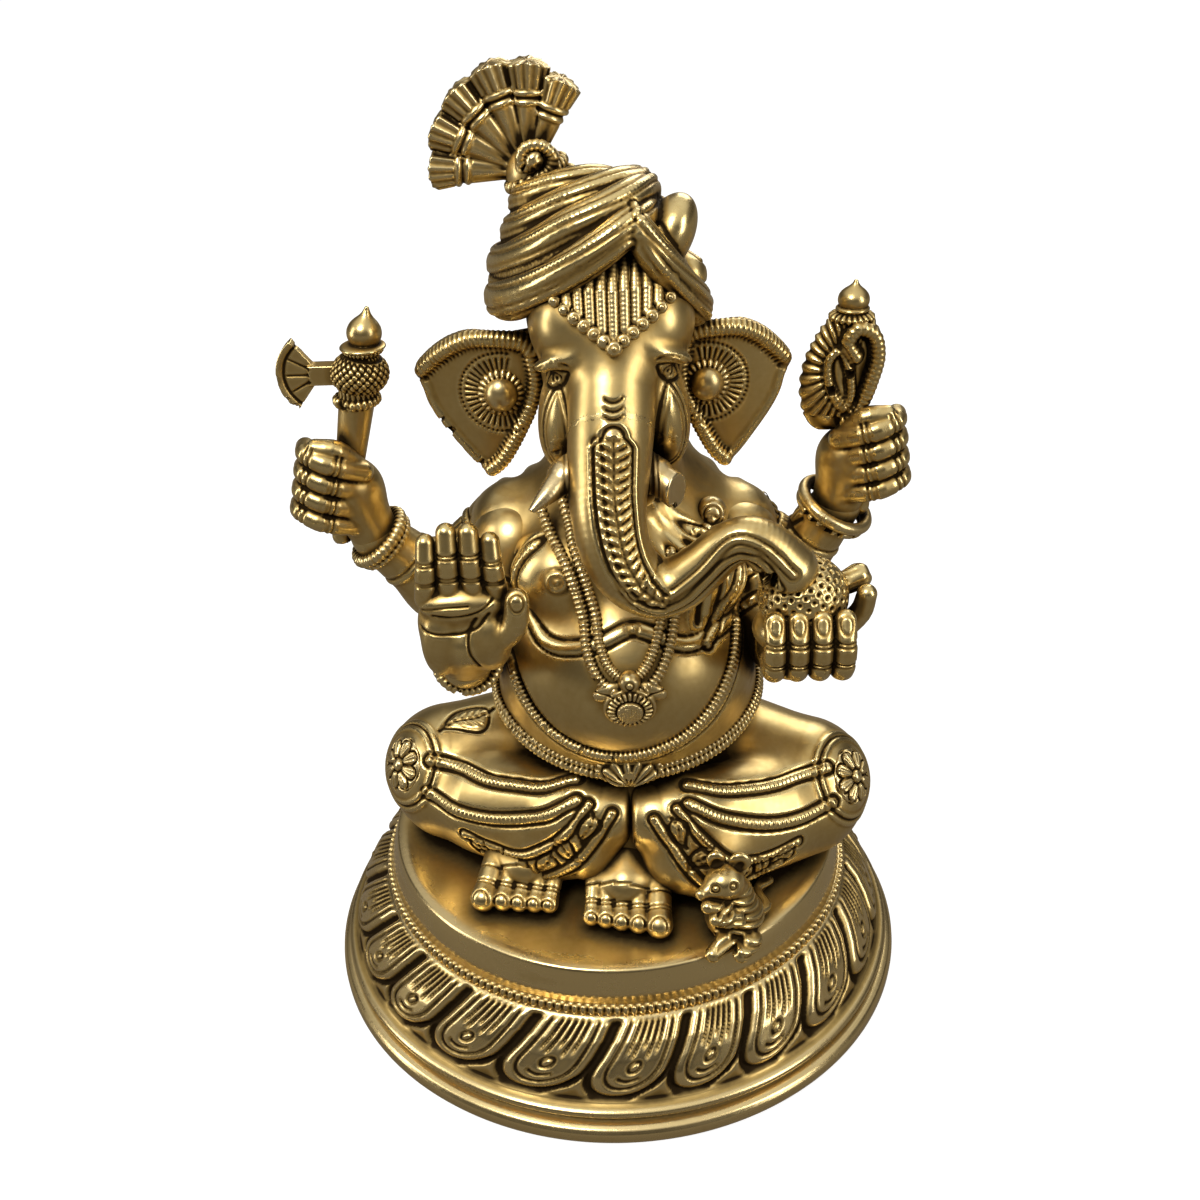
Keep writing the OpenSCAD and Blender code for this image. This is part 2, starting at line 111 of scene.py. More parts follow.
def cap(a, b, r1, r2=None):
    a = np.asarray(a, float)
    b = np.asarray(b, float)
    r2 = r1 if r2 is None else r2
    d = b - a
    dd = float(d @ d)

    def f(P):
        q = P - a
        h = np.clip((q @ d) / dd, 0, 1)
        return ln(q - h[..., None] * d) - (r1 + (r2 - r1) * h)
    return f


def smooth(pts, n=8, closed=False):
    """A smooth curve through points of any width (Catmull-Rom)."""
    p = np.asarray(pts, float)
    if closed:
        p = np.vstack([p[-1], p, p[0], p[1]])
    else:
        p = np.vstack([2 * p[0] - p[1], p, 2 * p[-1] - p[-2]])
    out = []
    t = np.linspace(0, 1, n, endpoint=False)[:, None]
    for i in range(1, len(p) - 2):
        a, b, c, d = p[i - 1:i + 3]
        out.append(0.5 * (2 * b + (c - a) * t + (2 * a - 5 * b + 4 * c - d) * t ** 2
                          + (3 * b - a - 3 * c + d) * t ** 3))
    if closed:
        return np.vstack(out + [out[0][:1]])
    return np.vstack(out + [p[-2][None]])


def along(P, Q, reach=1e9):
    """Distance to a line of points and length along it, for points within reach."""
    Q = np.asarray(Q)
    s = np.concatenate([[0], np.cumsum(ln(Q[1:] - Q[:-1]))])
    D = np.full(len(P), 1e9)
    S = np.zeros(len(P))
    far = reach < 1e8
    m = np.flatnonzero(np.all((P > Q.min(0) - reach) & (P < Q.max(0) + reach),
                              1)) if far else np.arange(len(P))
    qq = (Q * Q).sum(1)
    Qt = -2 * Q.T
    n = len(Q)
    for k in range(0, len(m), 20000):
        w = m[k:k + 20000]
        X = P[w]
        near = (X @ Qt + qq).argmin(1)
        best = np.full(len(X), 1e18)
        at = np.zeros(len(X))
        for a in (np.maximum(near - 1, 0), np.minimum(near, n - 2)):
            d = Q[a + 1] - Q[a]
            q = X - Q[a]
            h = np.clip((q * d).sum(1) / ((d * d).sum(1) + 1e-12), 0, 1)
            e = q - h[:, None] * d
            e2 = (e * e).sum(1)
            u = e2 < best
            best = np.where(u, e2, best)
            at = np.where(u, s[a] + h * (s[a + 1] - s[a]), at)
        D[w] = np.sqrt(best)
        S[w] = at
    return D, S


def tube(pts, rs, n=8, closed=False, flat=None):
    """A tube through points with a radius at each. flat is not used."""
    Q = smooth(pts, n, closed)
    rs = np.broadcast_to(np.asarray(rs, float), (len(pts),))
    rr = smooth(rs[:, None], n, closed)[:, 0]
    s = np.concatenate([[0], np.cumsum(ln(Q[1:] - Q[:-1]))])

    def f(P):
        d, at = along(P.reshape(-1, 3), Q)
        return (d - np.interp(at, s, rr)).reshape(P.shape[:-1])
    f.path = Q
    return f


def smin(a, b, k):
    if k <= 0:
        return np.minimum(a, b)
    h = np.clip(0.5 + 0.5 * (b - a) / k, 0, 1)
    return b * (1 - h) + a * h - k * h * (1 - h)


def U(k, *fs):
    def f(P):
        d = fs[0](P)
        for g in fs[1:]:
            d = smin(d, g(P), k)
        return d
    return f


def cut(k, f, g):
    return lambda P: -smin(-f(P), g(P), k)


def both(k, f, g):
    return lambda P: -smin(-f(P), -g(P), k)


def above(z):
    return lambda P: z - P[..., 2]


def step(x, a, b):
    t = np.clip((x - a) / (b - a), 0, 1)
    return t * t * (3 - 2 * t)


def groove(d, w, depth):
    return -depth * np.exp(-(d / w) ** 2)


def ridge(d, w, h):
    return h * np.sqrt(np.clip(1 - (d / w) ** 2, 0, 1))


# ---- from a distance function to a mesh
CORN = np.array([[i, j, k] for i in (0, 1) for j in (0, 1) for k in (0, 1)])


def nets(D, lo, h):
    S = D < 0
    n = D.shape
    c = np.zeros(tuple(x - 1 for x in n), np.int8)
    for o in CORN:
        c += S[o[0]:n[0] - 1 + o[0], o[1]:n[1] - 1 + o[1], o[2]:n[2] - 1 + o[2]]
    act = (c > 0) & (c < 8)
    cells = np.argwhere(act)
    ids = np.full(c.shape, -1, np.int64)
    ids[act] = np.arange(len(cells))
    pos = np.zeros((len(cells), 3))
    cnt = np.zeros(len(cells))
    for a in CORN:
        for ax in range(3):
            if a[ax]:
                continue
            b = a.copy()
            b[ax] = 1
            da = D[tuple((cells + a).T)]
            db = D[tuple((cells + b).T)]
            m = (da < 0) != (db < 0)
            t = da[m] / (da[m] - db[m])
            pos[m] += a + t[:, None] * (b - a)
            cnt[m] += 1
    verts = lo + h * (cells + pos / cnt[:, None])
    faces = []
    for ax in range(3):
        b, c2 = (ax + 1) % 3, (ax + 2) % 3
        sl = [slice(None)] * 3
        sl[b] = slice(1, n[b] - 1)
        sl[c2] = slice(1, n[c2] - 1)
        A = list(sl)
        A[ax] = slice(0, n[ax] - 1)
        B = list(sl)
        B[ax] = slice(1, n[ax])
        sa, sb = S[tuple(A)], S[tuple(B)]
        e = np.argwhere(sa != sb)
        if not len(e):
            continue
        into = sa[tuple(e.T)]
        e[:, b] += 1
        e[:, c2] += 1
        q = []
        for ob, oc in ((-1, -1), (0, -1), (0, 0), (-1, 0)):
            k = e.copy()
            k[:, b] += ob
            k[:, c2] += oc
            q.append(ids[tuple(k.T)])
        q = np.stack(q, 1)
        q[~into] = q[~into][:, ::-1]
        faces.append(q)
    return verts, np.vstack(faces)


def field(f, lo, hi, h):
    """Samples f on a grid, exactly only near its surface."""
    n = np.ceil((hi - lo) / h / 4).astype(int) * 4 + 1
    ax = [lo[i] + h * np.arange(n[i]) for i in range(3)]
    co = np.stack(np.meshgrid(*[a[::4] for a in ax], indexing='ij'), -1)
    dc = f(co.reshape(-1, 3)).reshape(co.shape[:3])
    for i in range(3):
        dc = np.repeat(dc, 4, i)
    near = np.zeros(tuple(n), bool)
    full = np.empty(tuple(n))
    pad = [(2, 1)] * 3
    dc = np.pad(dc, pad, mode='edge')[:n[0], :n[1], :n[2]]
    near = np.abs(dc) < 4.6 * h
    full[:] = dc
    I = np.argwhere(near)
    out = np.empty(len(I))
    for k in range(0, len(I), 400000):
        out[k:k + 400000] = f(lo + h * I[k:k + 400000])
    full[near] = out
    return full


def subdivide(v, q):
    n = len(v)
    e = np.stack([q, np.roll(q, -1, 1)], 2).reshape(-1, 2)
    e.sort(1)
    key = e[:, 0] * n + e[:, 1]
    u, inv = np.unique(key, return_inverse=True)
    mid = (v[u // n] + v[u % n]) / 2
    cen = v[q].mean(1)
    m = inv.reshape(-1, 4) + n
    c = np.arange(len(q)) + n + len(u)
    out = np.empty((len(q), 4, 4), np.int64)
    for k in range(4):
        out[:, k] = np.stack([q[:, k], m[:, k], c, m[:, k - 1]], 1)
    return np.vstack([v, mid, cen]), out.reshape(-1, 4)


def gradient(f, P, e=0.05):
    g = np.empty_like(P)
    for i in range(3):
        d = np.zeros(3)
        d[i] = e
        g[:, i] = (f(P + d) - f(P - d)) / (2 * e)
    return g


def settle(f, P, n=3):
    """Moves points onto the surface of f and gives the normals."""
    for _ in range(n):
        g = gradient(f, P)
        gg = (g * g).sum(1) + 1e-6
        P = P - np.clip(f(P) / gg, -1.5, 1.5)[:, None] * g
    g = gradient(f, P)
    return P, g / (ln(g)[:, None] + 1e-9)


def drop(f, x, z, y=-70.0):
    """The first surface point met going back along y from in front of the figure."""
    p = V(x, y, z)[None]
    for _ in range(60):
        p = p + np.array([0, 1.0, 0]) * np.clip(f(p), -1, 4)[:, None] * 0.8
    return p[0]


def onto(f, pts, n=8, closed=False):
    """A smooth line through points, laid on the surface of f."""
    return settle(f, smooth(pts, n, closed), 6)[0]


def vert_normals(v, q):
    a, b, c, d = (v[q[:, i]] for i in range(4))
    fn = np.cross(c - a, d - b)
    out = np.zeros_like(v)
    for i in range(3):
        for k in range(4):
            out[:, i] += np.bincount(q[:, k], fn[:, i], len(v))
    return out / (ln(out)[:, None] + 1e-12)


def smooth_field(x, q, rounds):
    """Averages a value over each point's neighbours."""
    n = len(x)
    a = q.reshape(-1)
    b = np.roll(q, -1, 1).reshape(-1)
    deg = np.bincount(a, minlength=n) + np.bincount(b, minlength=n) + 1e-9
    for _ in range(rounds):
        if x.ndim == 1:
            x = (np.bincount(a, x[b], n) + np.bincount(b, x[a], n)) / deg
        else:
            x = np.stack([(np.bincount(a, x[b, i], n) + np.bincount(b, x[a, i], n)) / deg
                          for i in range(x.shape[1])], 1)
    return x


# ---- the statue's pieces, gathered then built
PIECES = {}


def piece(node, f, lo=None, hi=None, h=1.0, sub=1, orn=None, slot="figure_brass", grow=6.0):
    """A modelled piece: distance function f, its box, and a relief function orn(P, N) in mm."""
    if lo is None:
        lo, hi = corner(node)
        lo, hi = lo - grow, hi + grow
    PIECES[node] = dict(f=f, lo=np.asarray(lo, float), hi=np.asarray(hi, float), h=h, sub=sub, orn=orn,
                        slot=slot)


# ---- body
BELLY = V(6, -11, 82)
belly_f = U(9, ell(BELLY, (45, 45, 43)), ell(V(6, -3, 62), (46, 42, 26)))
chest_f = U(8, ell(V(6, -1, 120), (37, 33, 32)), ell(V(-13, -22, 119), (19, 15, 15)), ell(V(27, -22, 117),
                                        (19, 15, 15)),
            cap(V(-30, 3, 124), V(42, 3, 121), 17))
body_f = U(7, belly_f, chest_f, cap(V(5, -2, 135), V(4, -10, 158), 21), ell(V(6, 8, 100), (42, 34, 60)))
apron = U(5, ell(V(6, -33, 26), (20, 15, 22)), ell(V(5, -42, 12), (15, 8, 12)))
torso_f = both(0.5, U(4, body_f, apron), above(DECK + 0.3))

SASH = onto(body_f, [V(-38, -32, 92), V(-24, -50, 70), V(4, -58, 62), V(30, -50, 74), V(42, -34, 96),
                     V(46, -18, 116)])
STRAP = onto(body_f, [V(-34, -20, 112), V(-22, -40, 104), V(-6, -42, 102), V(6, -40, 106)])
STRAP2 = onto(body_f, [V(8, -40, 106), V(24, -42, 102), V(40, -30, 104)])
NIP = [settle(body_f, V(-17, -38, 124)[None], 6)[0][0], settle(body_f, V(29, -38, 122)[None], 6)[0][0]]


SHAWL = [(onto(body_f, q), w) for q, w in (
    ([V(18, -34, 150), V(30, -30, 142), V(41, -20, 133), V(48, -8, 126)], 1.6),
    ([V(50, -26, 132), V(47, -32, 122), V(42, -38, 112), V(34, -44, 104)], 1.8),
    ([V(-22, -30, 146), V(-31, -28, 136), V(-36, -28, 124), V(-38, -28, 110)], 1.8),
    ([V(-30, -22, 146), V(-40, -18, 134), V(-46, -14, 120)], 1.5))]
FOLDS = [onto(body_f, q) for q in (
    [V(20, -36, 146), V(30, -34, 136), V(36, -34, 124), V(36, -38, 112)], [V(16, -38, 142), V(24, -38,
                                        132), V(29, -38, 122), V(30, -42, 110)],
    [V(26, -32, 146), V(37, -28, 136), V(43, -26, 124), V(42, -32, 112)], [V(-26, -28, 146), V(-35, -24,
                                        134), V(-40, -22, 120)])]


def torso_relief(P, N):
    h = np.zeros(len(P))
    d, s = along(P, SASH, 6)
    h += ridge(d, 2.6, 1.1) * (0.72 + 0.28 * np.cos(TAU * s / 1.7)) + groove(d - 3.2, 0.5, 0.5)
    for q in (STRAP, STRAP2):
        d, s = along(P, q, 5)
        h += ridge(d, 2.2, 0.8) + groove(d - 2.7, 0.5, 0.5)
    for c in NIP:
        d = ln(P - c)
        h += ridge(d - 2.6, 1.0, 0.6) + ridge(d, 1.2, 0.8) + groove(d - 4.2, 0.4, 0.25)
    for q, w in SHAWL:
        d, s = along(P, q, 6)
        h += ridge(d, w, 0.9) * (0.75 + 0.25 * np.cos(TAU * s / 1.8)) + groove(d - w - 0.6, 0.6, 0.8)
    for q in FOLDS:
        d, s = along(P, q, 6)
        h += groove(d, 1.0, 0.9) + ridge(d - 2.6, 1.6, 0.35)
    # back: a hanging scarf's folds
    b = step(P[:, 1], 6, 14) * step(P[:, 2] - DECK, 30, 40)
    h += b * 0.8 * np.cos(P[:, 0] * TAU / 9 + 0.8 * np.sin(P[:, 2] / 11))
    return h


piece("torso", torso_f, V(-52, -70, -1), V(66, 52, 168), 1.25, 1, torso_relief)

# ---- legs
KNEE = {-1: V(-64, 0, 24), 1: V(73, -14, 23)}
SHIN = {-1: V(-26, -34, 16), 1: V(27, -44, 17)}
leg_l = U(6, cap(V(-16, 8, 27), V(-60, 0, 25), 27, 23), ell(KNEE[-1], (21, 22, 21)),
          cap(V(-60, -8, 19), V(-24, -35, 19), 18, 15.5), cap(V(-46, -20, 24), V(-12, -39, 33), 18,
                                        14.5), cap(V(-12, -39, 33), V(-2, -42, 34), 14.5, 12), cap(V(-24,
                                        -35, 19), V(-10, -43, 20), 15, 12))
leg_r = U(6, cap(V(26, 6, 27), V(69, -12, 24), 27, 22), ell(KNEE[1], (21, 21, 21)),
          cap(V(70, -22, 18), V(30, -45, 18), 18, 15.5), cap(V(56, -28, 24), V(23, -42, 33), 18,
                                        14.5), cap(V(23, -42, 33), V(13, -45, 34), 14.5, 12), cap(V(30,
                                        -45, 18), V(21, -49, 19), 15, 12))


def flower(P, c, n, up, R0, petals=8):
    """Relief of a round flower: lobed petals with veins round a ringed eye."""
    n = n / np.sqrt(n @ n)
    u = np.cross(up, n)
    u = u / np.sqrt(u @ u)
    v = np.cross(n, u)
    q = P - c
    x, y, z = q @ u, q @ v, q @ n
    r = np.sqrt(x * x + y * y)
    a = np.arctan2(y, x)
    lobe = np.abs(np.cos(petals / 2 * a))
    edge = R0 * (0.72 + 0.28 * lobe ** 0.6)
    on = (np.abs(z) < R0 * 1.2) & (r < R0 * 1.7)
    h = groove(r - edge, 0.55, 0.9) + groove(r - R0 * 0.3, 0.5, 0.8) + ridge(r, R0 * 0.22, 1.0)
    inside = (r < edge) & (r > R0 * 0.3)
    h += np.where(inside, 0.5 * lobe ** 2 + 0.18 * np.cos(a * petals * 4), 0)
    h += groove(np.abs(a * petals / TAU % 1 - 0.5) * r * TAU / petals, 0.45, 0.7) * inside
    return np.where(on, h, 0)


def leaf(P, c, n, up, L, W):
    """Relief of a leaf lying on the surface: raised border, stem and side veins."""
    n = n / np.sqrt(n @ n)
    u = np.cross(up, n)
    u = u / np.sqrt(u @ u)
    v = np.cross(n, u)
    q = P - c
    x, y, z = q @ u, q @ v, q @ n
    y0 = y / L
    half = W * np.clip(1 - y0 * y0, 0, 1) ** 0.75 * (1 + 0.5 * y0)
    x = x - 0.18 * W * np.sin(y0 * 3)
    e = np.abs(x) - half
    on = (np.abs(z) < 9) & (np.abs(y0) < 1.25) & (np.abs(x) < W * 1.8)
    h = groove(e, 0.6, 1.0) + groove(e + 1.6, 0.4, 0.5) + groove(x, 0.45, 0.7) * (e < -1)
    h += groove((y - 0.7 * np.abs(x)) % 2.6 - 1.3, 0.35, 0.45) * (e < -2.0) + 0.35 * step(-e, 0, 2.5)
    return np.where(on, h, 0)


def packed(node):
    """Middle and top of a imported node's box: millimetres, heights above the deck."""
    lo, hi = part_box(node)
    lo, hi = np.array(lo) * 1000.0, np.array(hi) * 1000.0
    return (lo + hi) / 2 - [0, 0, DECK], hi[2] - DECK


# each line over the trousers: start beside the buckle (mm), share of the way to the knee flower it
# reaches, height at its two ends and its sag as shares of the leg's height, and half its width
SWAGS = [(19, 0.78, 0.97, 0.80, 0.06, 1.9), (19, 0.80, 0.90, 0.60, 0.12, 1.9)]
CUFFS = [(15, 0.62, 0.88, 0.42, 0.22, 1.5), (7, 0.58, 0.82, 0.26, 0.30, 1.5)]
SPRIGS = 6


def sagging(side, f, start, reach, z0, z1, sag, u):
    """A point on the trousers, u of the way from the buckle towards the knee flower."""
    buckle = packed("belt_buckle")[0][0]
    node = "left" if side < 0 else "right"
    knee = packed("knee_flower_" + node)[0][0]
    high = packed("leg_" + node)[1]
    x = buckle + side * start + (knee - buckle - side * start) * reach * u
    z = high * (z0 + (z1 - z0) * u - sag * math.sin(math.pi * u))
    return drop(f, x, z)


def leg_relief(side, f):
    K = KNEE[side]
    ax = np.array([side * 1.0, -0.25, -0.05])
    out = np.array([side * 0.72, -0.62, 0.55])
    eye = settle(f, (K + out * 20)[None], 8)[0][0]
    shin_ax = (SHIN[side] - K) / ln(SHIN[side] - K)
    lines = []
    for *line, w in SWAGS + CUFFS:
        lines.append((smooth([sagging(side, f, *line, u) for u in np.linspace(0, 1, 6)], 6), w))
    # a large leaf on the thigh, and a row of sprigs between the cuff's two borders
    over, under = CUFFS[0][:5], CUFFS[1][:5]
    places = [(sagging(side, f, 19, 0.95, 1.0, 0.94, 0.0, 0.62), -0.8 * side, 9, 6)]
    for i in range(SPRIGS):
        u = (i + 0.6) / SPRIGS
        c = (sagging(side, f, *over, u) + sagging(side, f, *under, u)) / 2
        places.append((c, side * (0.9 if i % 2 else -0.4), 5.4, 3.4))
    spots = []
    for c, turn, L, W in places:
        c2, n2 = settle(f, c[None], 20)
        spots.append((c2[0], n2[0], np.array([math.sin(turn), 0.15, math.cos(turn)]), L, W))

    def g(P, N):
        h = np.zeros(len(P))
        h += flower(P, eye, out, np.array([0, 0, 1.0]), 9.5)
        de = ln(P - eye)
        for c, n, up, L, W in spots:
            h += leaf(P, c, n, up, L, W)
        h += ridge(de - 14.5, 0.9, 0.6) + ridge(de - 17.2, 1.0, 0.5) + groove(de - 15.8, 0.4, 0.5)
        # ribbed swags and the two borders of the cuff
        for c, w in lines:
            d, s = along(P, c, 6)
            h += ridge(d, w, 0.9) * (0.78 + 0.22 * np.cos(TAU * s / 1.7)) + groove(d - w - 0.6, 0.6, 0.8)
        # soft folds of the cloth between them
        d, s = along(P, lines[0][0], 6)
        h += 0.5 * np.cos(d * TAU / 7.5) * step(d, 16, 12) * step(-d, -3, 3)
        return h
    return g


for side, node, f in ((-1, "leg_left", leg_l), (1, "leg_right", leg_r)):
    g = both(0.5, both(2, f, lambda P, s=side: s * (5.4 - P[..., 0]) + 0.2), above(DECK + 0.2))
    lo, hi = (V(-90, -66, -1), V(8, 38, 56)) if side < 0 else (V(-2, -72, -1), V(99, 36, 56))
    piece(node, g, lo, hi, 1.0, 1, leg_relief(side, f))

# ---- feet: a broad foot with five toes
def foot(c, span, fwd, big):
    """c is the middle of the toes' roots, span runs towards the big toe, fwd towards the toe tips."""
    c = np.asarray(c, float)
    sh = [cap(c + span * 9 - fwd * 6 + [0, 0, 2], c - span * 8 - fwd * 6 + [0, 0, 2], 7.5, 6.5),
          cap(c - fwd * 4 + [0, 0, 1], c - fwd * 16 + [0, 0, 7], 10, 10)]
    toes = []
    for i in range(5):
        r = (4.7, 3.7, 3.5, 3.3, 3.1)[i]
        x = (11.2, 4.4, -1.2, -6.4, -11.3)[i]
        a = c + span * x - fwd * 5 + [0, 0, 3]
        b = c + span * x * 1.05 + fwd * (11.5 - 0.9 * i) + [0, 0, -3.6 - 0.1 * i]
        toes.append((a, b, r))
    f = U(1.0, U(4, *sh), *[U(1.2, cap(a + [0, 0, 1], b, r, r * 0.93), ball(b + [0, 0, 0.2],
                                        r * 0.96)) for a, b, r in toes])
    f = both(0.4, f, above(DECK + 0.2))

    def g(P, N):
        h = np.zeros(len(P))
        for a, b, r in toes:
            d = (b - a) / ln(b - a)
            q = P - b
            t = q @ d
            side = q @ span
            m = np.abs(side) < r * 0.95
            nail = np.sqrt((side / (r * 0.62)) ** 2 + ((t - r * 0.45) / (r * 0.62)) ** 2)
            up = N[:, 2] > 0.15
            h += m * up * (groove((nail - 1) * r * 0.6, 0.3, 0.4) + 0.15 * (nail < 0.9))
            for k in (4.2, 5.4, 10.5):
                h += m * groove(t + k, 0.3, 0.35) * (P[:, 2] > DECK + 2)
        return h
    return f, g


FL, gl = foot(V(-33, -45, 9), np.array([-0.94, 0.30, 0]), np.array([-0.28, -0.96, 0]), -1)
piece("foot_left", FL, V(-54, -66, -1), V(-10, -20, 26), 0.7, 1, gl)
FR, gr = foot(V(3, -56, 9), np.array([0.99, -0.08, 0]), np.array([-0.06, -1.0, 0]), 1)
piece("foot_right", FR, V(-20, -76, -1), V(28, -30, 26), 0.7, 1, gr)

# ---- dress
def rope_relief(Q, pitch, depth=0.45, phase=0.0, reach=12):
    def g(P, N):
        d, s = along(P, Q, reach)
        return depth * np.cos(TAU * s / pitch + phase) * (d < reach)
    return g


def lay(f, pts, out=0.0, closed=False):
    """A line laid on a surface and lifted off it."""
    Q, N = settle(f, smooth(pts, 8, closed), 6)
    return Q + N * out


def path_tube(Q, r, squash=None):
    def f(P):
        d, s = along(P, Q)
        rr = r(s) if callable(r) else r
        return d - rr
    return f


BELT = lay(body_f, [V(-42, 2, 66), V(-38, -22, 62), V(-24, -42, 55), V(4, -52, 51), V(32, -44, 55), V(47,
                                        -24, 62), V(50, 2, 66)], 0.6)
belt_f = U(0.4, path_tube(BELT, 2.0), path_tube(BELT + [0, -0.4, 3.0], 1.4))
piece("belt", belt_f, BELT.min(0) - 6, BELT.max(0) + 8, 0.6, 1, rope_relief(BELT, 1.8, 0.22))

BK = settle(body_f, V(5, -56, 53)[None], 6)[0][0]
BKN = np.array([0.0, -0.93, -0.36])
buckle_f = ell(BK - BKN * 1.0, (11.5, 4.2, 6.6), rotm(-20))


def buckle_relief(P, N):
    q = P - BK
    u, v = q[:, 0], q[:, 2] - 0.38 * q[:, 1] * 0
    a = np.arctan2(v + 5.0, u)
    r = np.sqrt((u / 11.5) ** 2 + (v / 6.6) ** 2)
    h = 0.5 * np.cos(a * 15) * (r < 0.82) * (r > 0.2)
    return h + groove((r - 0.84) * 8, 0.5, 0.7) + 0.3 * (r > 0.9) * np.cos(np.arctan2(v, u) * 28)


piece("belt_buckle", buckle_f, BK - 15, BK + 15, 0.6, 1, buckle_relief)

THREAD = lay(body_f, [V(-34, -36, 88), V(-22, -49, 72), V(-2, -56, 65), V(22, -53, 72), V(37, -43, 88),
                      V(43, -30, 103)], 0.5)
piece("sacred_thread", path_tube(THREAD, 1.6), THREAD.min(0) - 5, THREAD.max(0) + 5, 0.6, 1,
      rope_relief(THREAD, 1.6, 0.2))

NECK1 = lay(body_f, [V(-26, -26, 147), V(-19, -34, 140), V(-13, -42, 130), V(-10.5, -46, 120), V(-9, -50,
                                        108), V(-4, -54, 97), V(5, -57, 92.5),
                     V(14, -55, 97), V(20, -50, 108), V(23, -44, 120), V(25, -36, 134)], 0.9)
NECK2 = lay(body_f, [V(-21, -26, 150), V(-14, -34, 142), V(-8.5, -42, 130), V(-6, -46, 120), V(-4.6, -50,
                                        110), V(-1, -54, 101.5), V(5, -57, 98),
                     V(11, -55, 101.5), V(15.5, -50, 110), V(18.5, -44, 121), V(20.5, -36, 134)], 0.9)
neck_f = U(0.3, path_tube(NECK1, 1.8), path_tube(NECK2, 1.6))
piece("necklace", neck_f, np.minimum(NECK1.min(0), NECK2.min(0)) - 5, np.maximum(NECK1.max(0),
                                        NECK2.max(0)) + 5, 0.6, 1,
      rope_relief(NECK1, 1.6, 0.24))

PD = settle(body_f, V(5.5, -60, 88)[None], 6)[0][0]
PB = settle(body_f, V(5.5, -60, 99)[None], 6)[0][0]
pendant_f = U(0.8, ell(PD, (8.6, 3.2, 8.2), rotm(12)), ball(PB + [0, -1.5, 0.5], 3.6),
              ell(PB + [-7.0, -1.2, -3.6], (5.2, 2.0, 3.2), rotm(0, -25)), ell(PB + [7.0, -1.2, -3.6],
                                        (5.2, 2.0, 3.2), rotm(0, 25)))


def pendant_relief(P, N):
    q = P - PD
    u, v = q[:, 0], q[:, 2]
    r = np.sqrt(u * u + v * v)
    a = np.arctan2(v, u)
    m = q[:, 2] < 9.0
    h = m * (groove(r - 4.4, 0.4, 0.7) + groove(r - 7.6, 0.35,
                                        0.4) + 0.45 * np.cos(a * 24) * (r > 4.8) * (r < 7.4))
    h += m * (r < 4.2) * (0.8 + 0.35 * np.cos(TAU * (u + v) / 1.5) * np.cos(TAU * (u - v) / 1.5))
    for s in (-1, 1):
        w = P - PB - np.array([s * 7.0, 0, -3.6])
        h += groove(w[:, 2] * 1.0 - 0.18 * s * w[:, 0], 0.35, 0.5) * (np.abs(w[:,
                                        0]) < 4.5) * (np.abs(w[:, 2]) < 3.0)
    c = P - PB
    rb = np.sqrt(c[:, 0] ** 2 + (c[:, 2] - 0.5) ** 2)
    return h + groove(rb - 1.4, 0.35, 0.5) * (c[:, 2] > -3.0)


piece("pendant", pendant_f, PD - [18, 10, 12], PD + [18, 8, 22], 0.55, 1, pendant_relief)

# the shawl's beaded boss on the shoulder, with its strands
BOSS = settle(body_f, V(38, -18, 140)[None], 6)[0][0]
strands = [lay(body_f, [BOSS, BOSS + [dx, -5, -12], BOSS + [dx * 1.9, -6, -26]], 0.3) for dx in (-9, -5,
                                        -1)]
boss_f = U(0.6, ball(BOSS + [0, -0.6, 1], 5.0), *[path_tube(q, 1.8) for q in strands])


def boss_relief(P, N):
    h = np.zeros(len(P))
    for q in strands:
        d, s = along(P, q, 6)
        h += 0.2 * np.cos(TAU * s / 1.8) * (d < 4)
    d = ln(P - BOSS - np.array([0, -5.0, 2]))
    return h + groove(d - 3.0, 0.4, 0.5)


piece("shoulder_boss", boss_f, BOSS - [24, 16, 34], BOSS + [10, 10, 10], 0.6, 1, boss_relief)

# ---- arms
SH = {"palm": V(-31, -4, 122), "sweet": V(43, -4, 119), "axe": V(-34, 8, 122), "noose": V(45, 8, 120)}
EL = {"palm": V(-50, -22, 92), "sweet": V(60, -22, 92), "axe": V(-60, 6, 101), "noose": V(64, 6, 102)}
WR = {"palm": V(-46, -52, 104), "sweet": V(57, -52, 104), "axe": V(-79, 0, 124), "noose": V(78, 0, 130)}


def arm(k, r0, r1, r2):
    s = U(5, cap(SH[k], EL[k], r0, r1), cap(EL[k], WR[k], r1, r2))
    return U(5, s, cap(V(6, 4, 124), SH[k], 14, r0))


def arm_relief(k):
    d0 = (WR[k] - EL[k]) / ln(WR[k] - EL[k])
    u0 = (EL[k] - SH[k]) / ln(EL[k] - SH[k])

    def g(P, N):
        t = (P - WR[k]) @ d0
        q = P - WR[k] - t[:, None] * d0
        a = np.arctan2(q[:, 2], q[:, 0]) * 10
        near = ln(q) < 20
        h = near * (ridge(t + 15, 1.0, 0.5) + groove(t + 13.2, 0.4, 0.4)) * (t > -20)
        t2 = (P - EL[k]) @ u0
        q2 = P - EL[k] - t2[:, None] * u0
        a2 = np.arctan2(q2[:, 2], q2[:, 1]) * 13
        m = (ln(q2) < 22) * (t2 < -4)
        for c, w in ((-16, 1.6), (-25, 1.4)):
            ribs = 0.7 + 0.3 * np.cos(TAU * a2 / 1.9)
            h += m * (ridge(t2 - c, w, 0.9) * ribs + groove(np.abs(t2 - c) - w - 0.4, 0.4, 0.5))
        h += m * (np.abs(t2 + 20.5) < 2.6) * 0.35 * np.cos(TAU * a2 / 4.2)
        return h
    return g


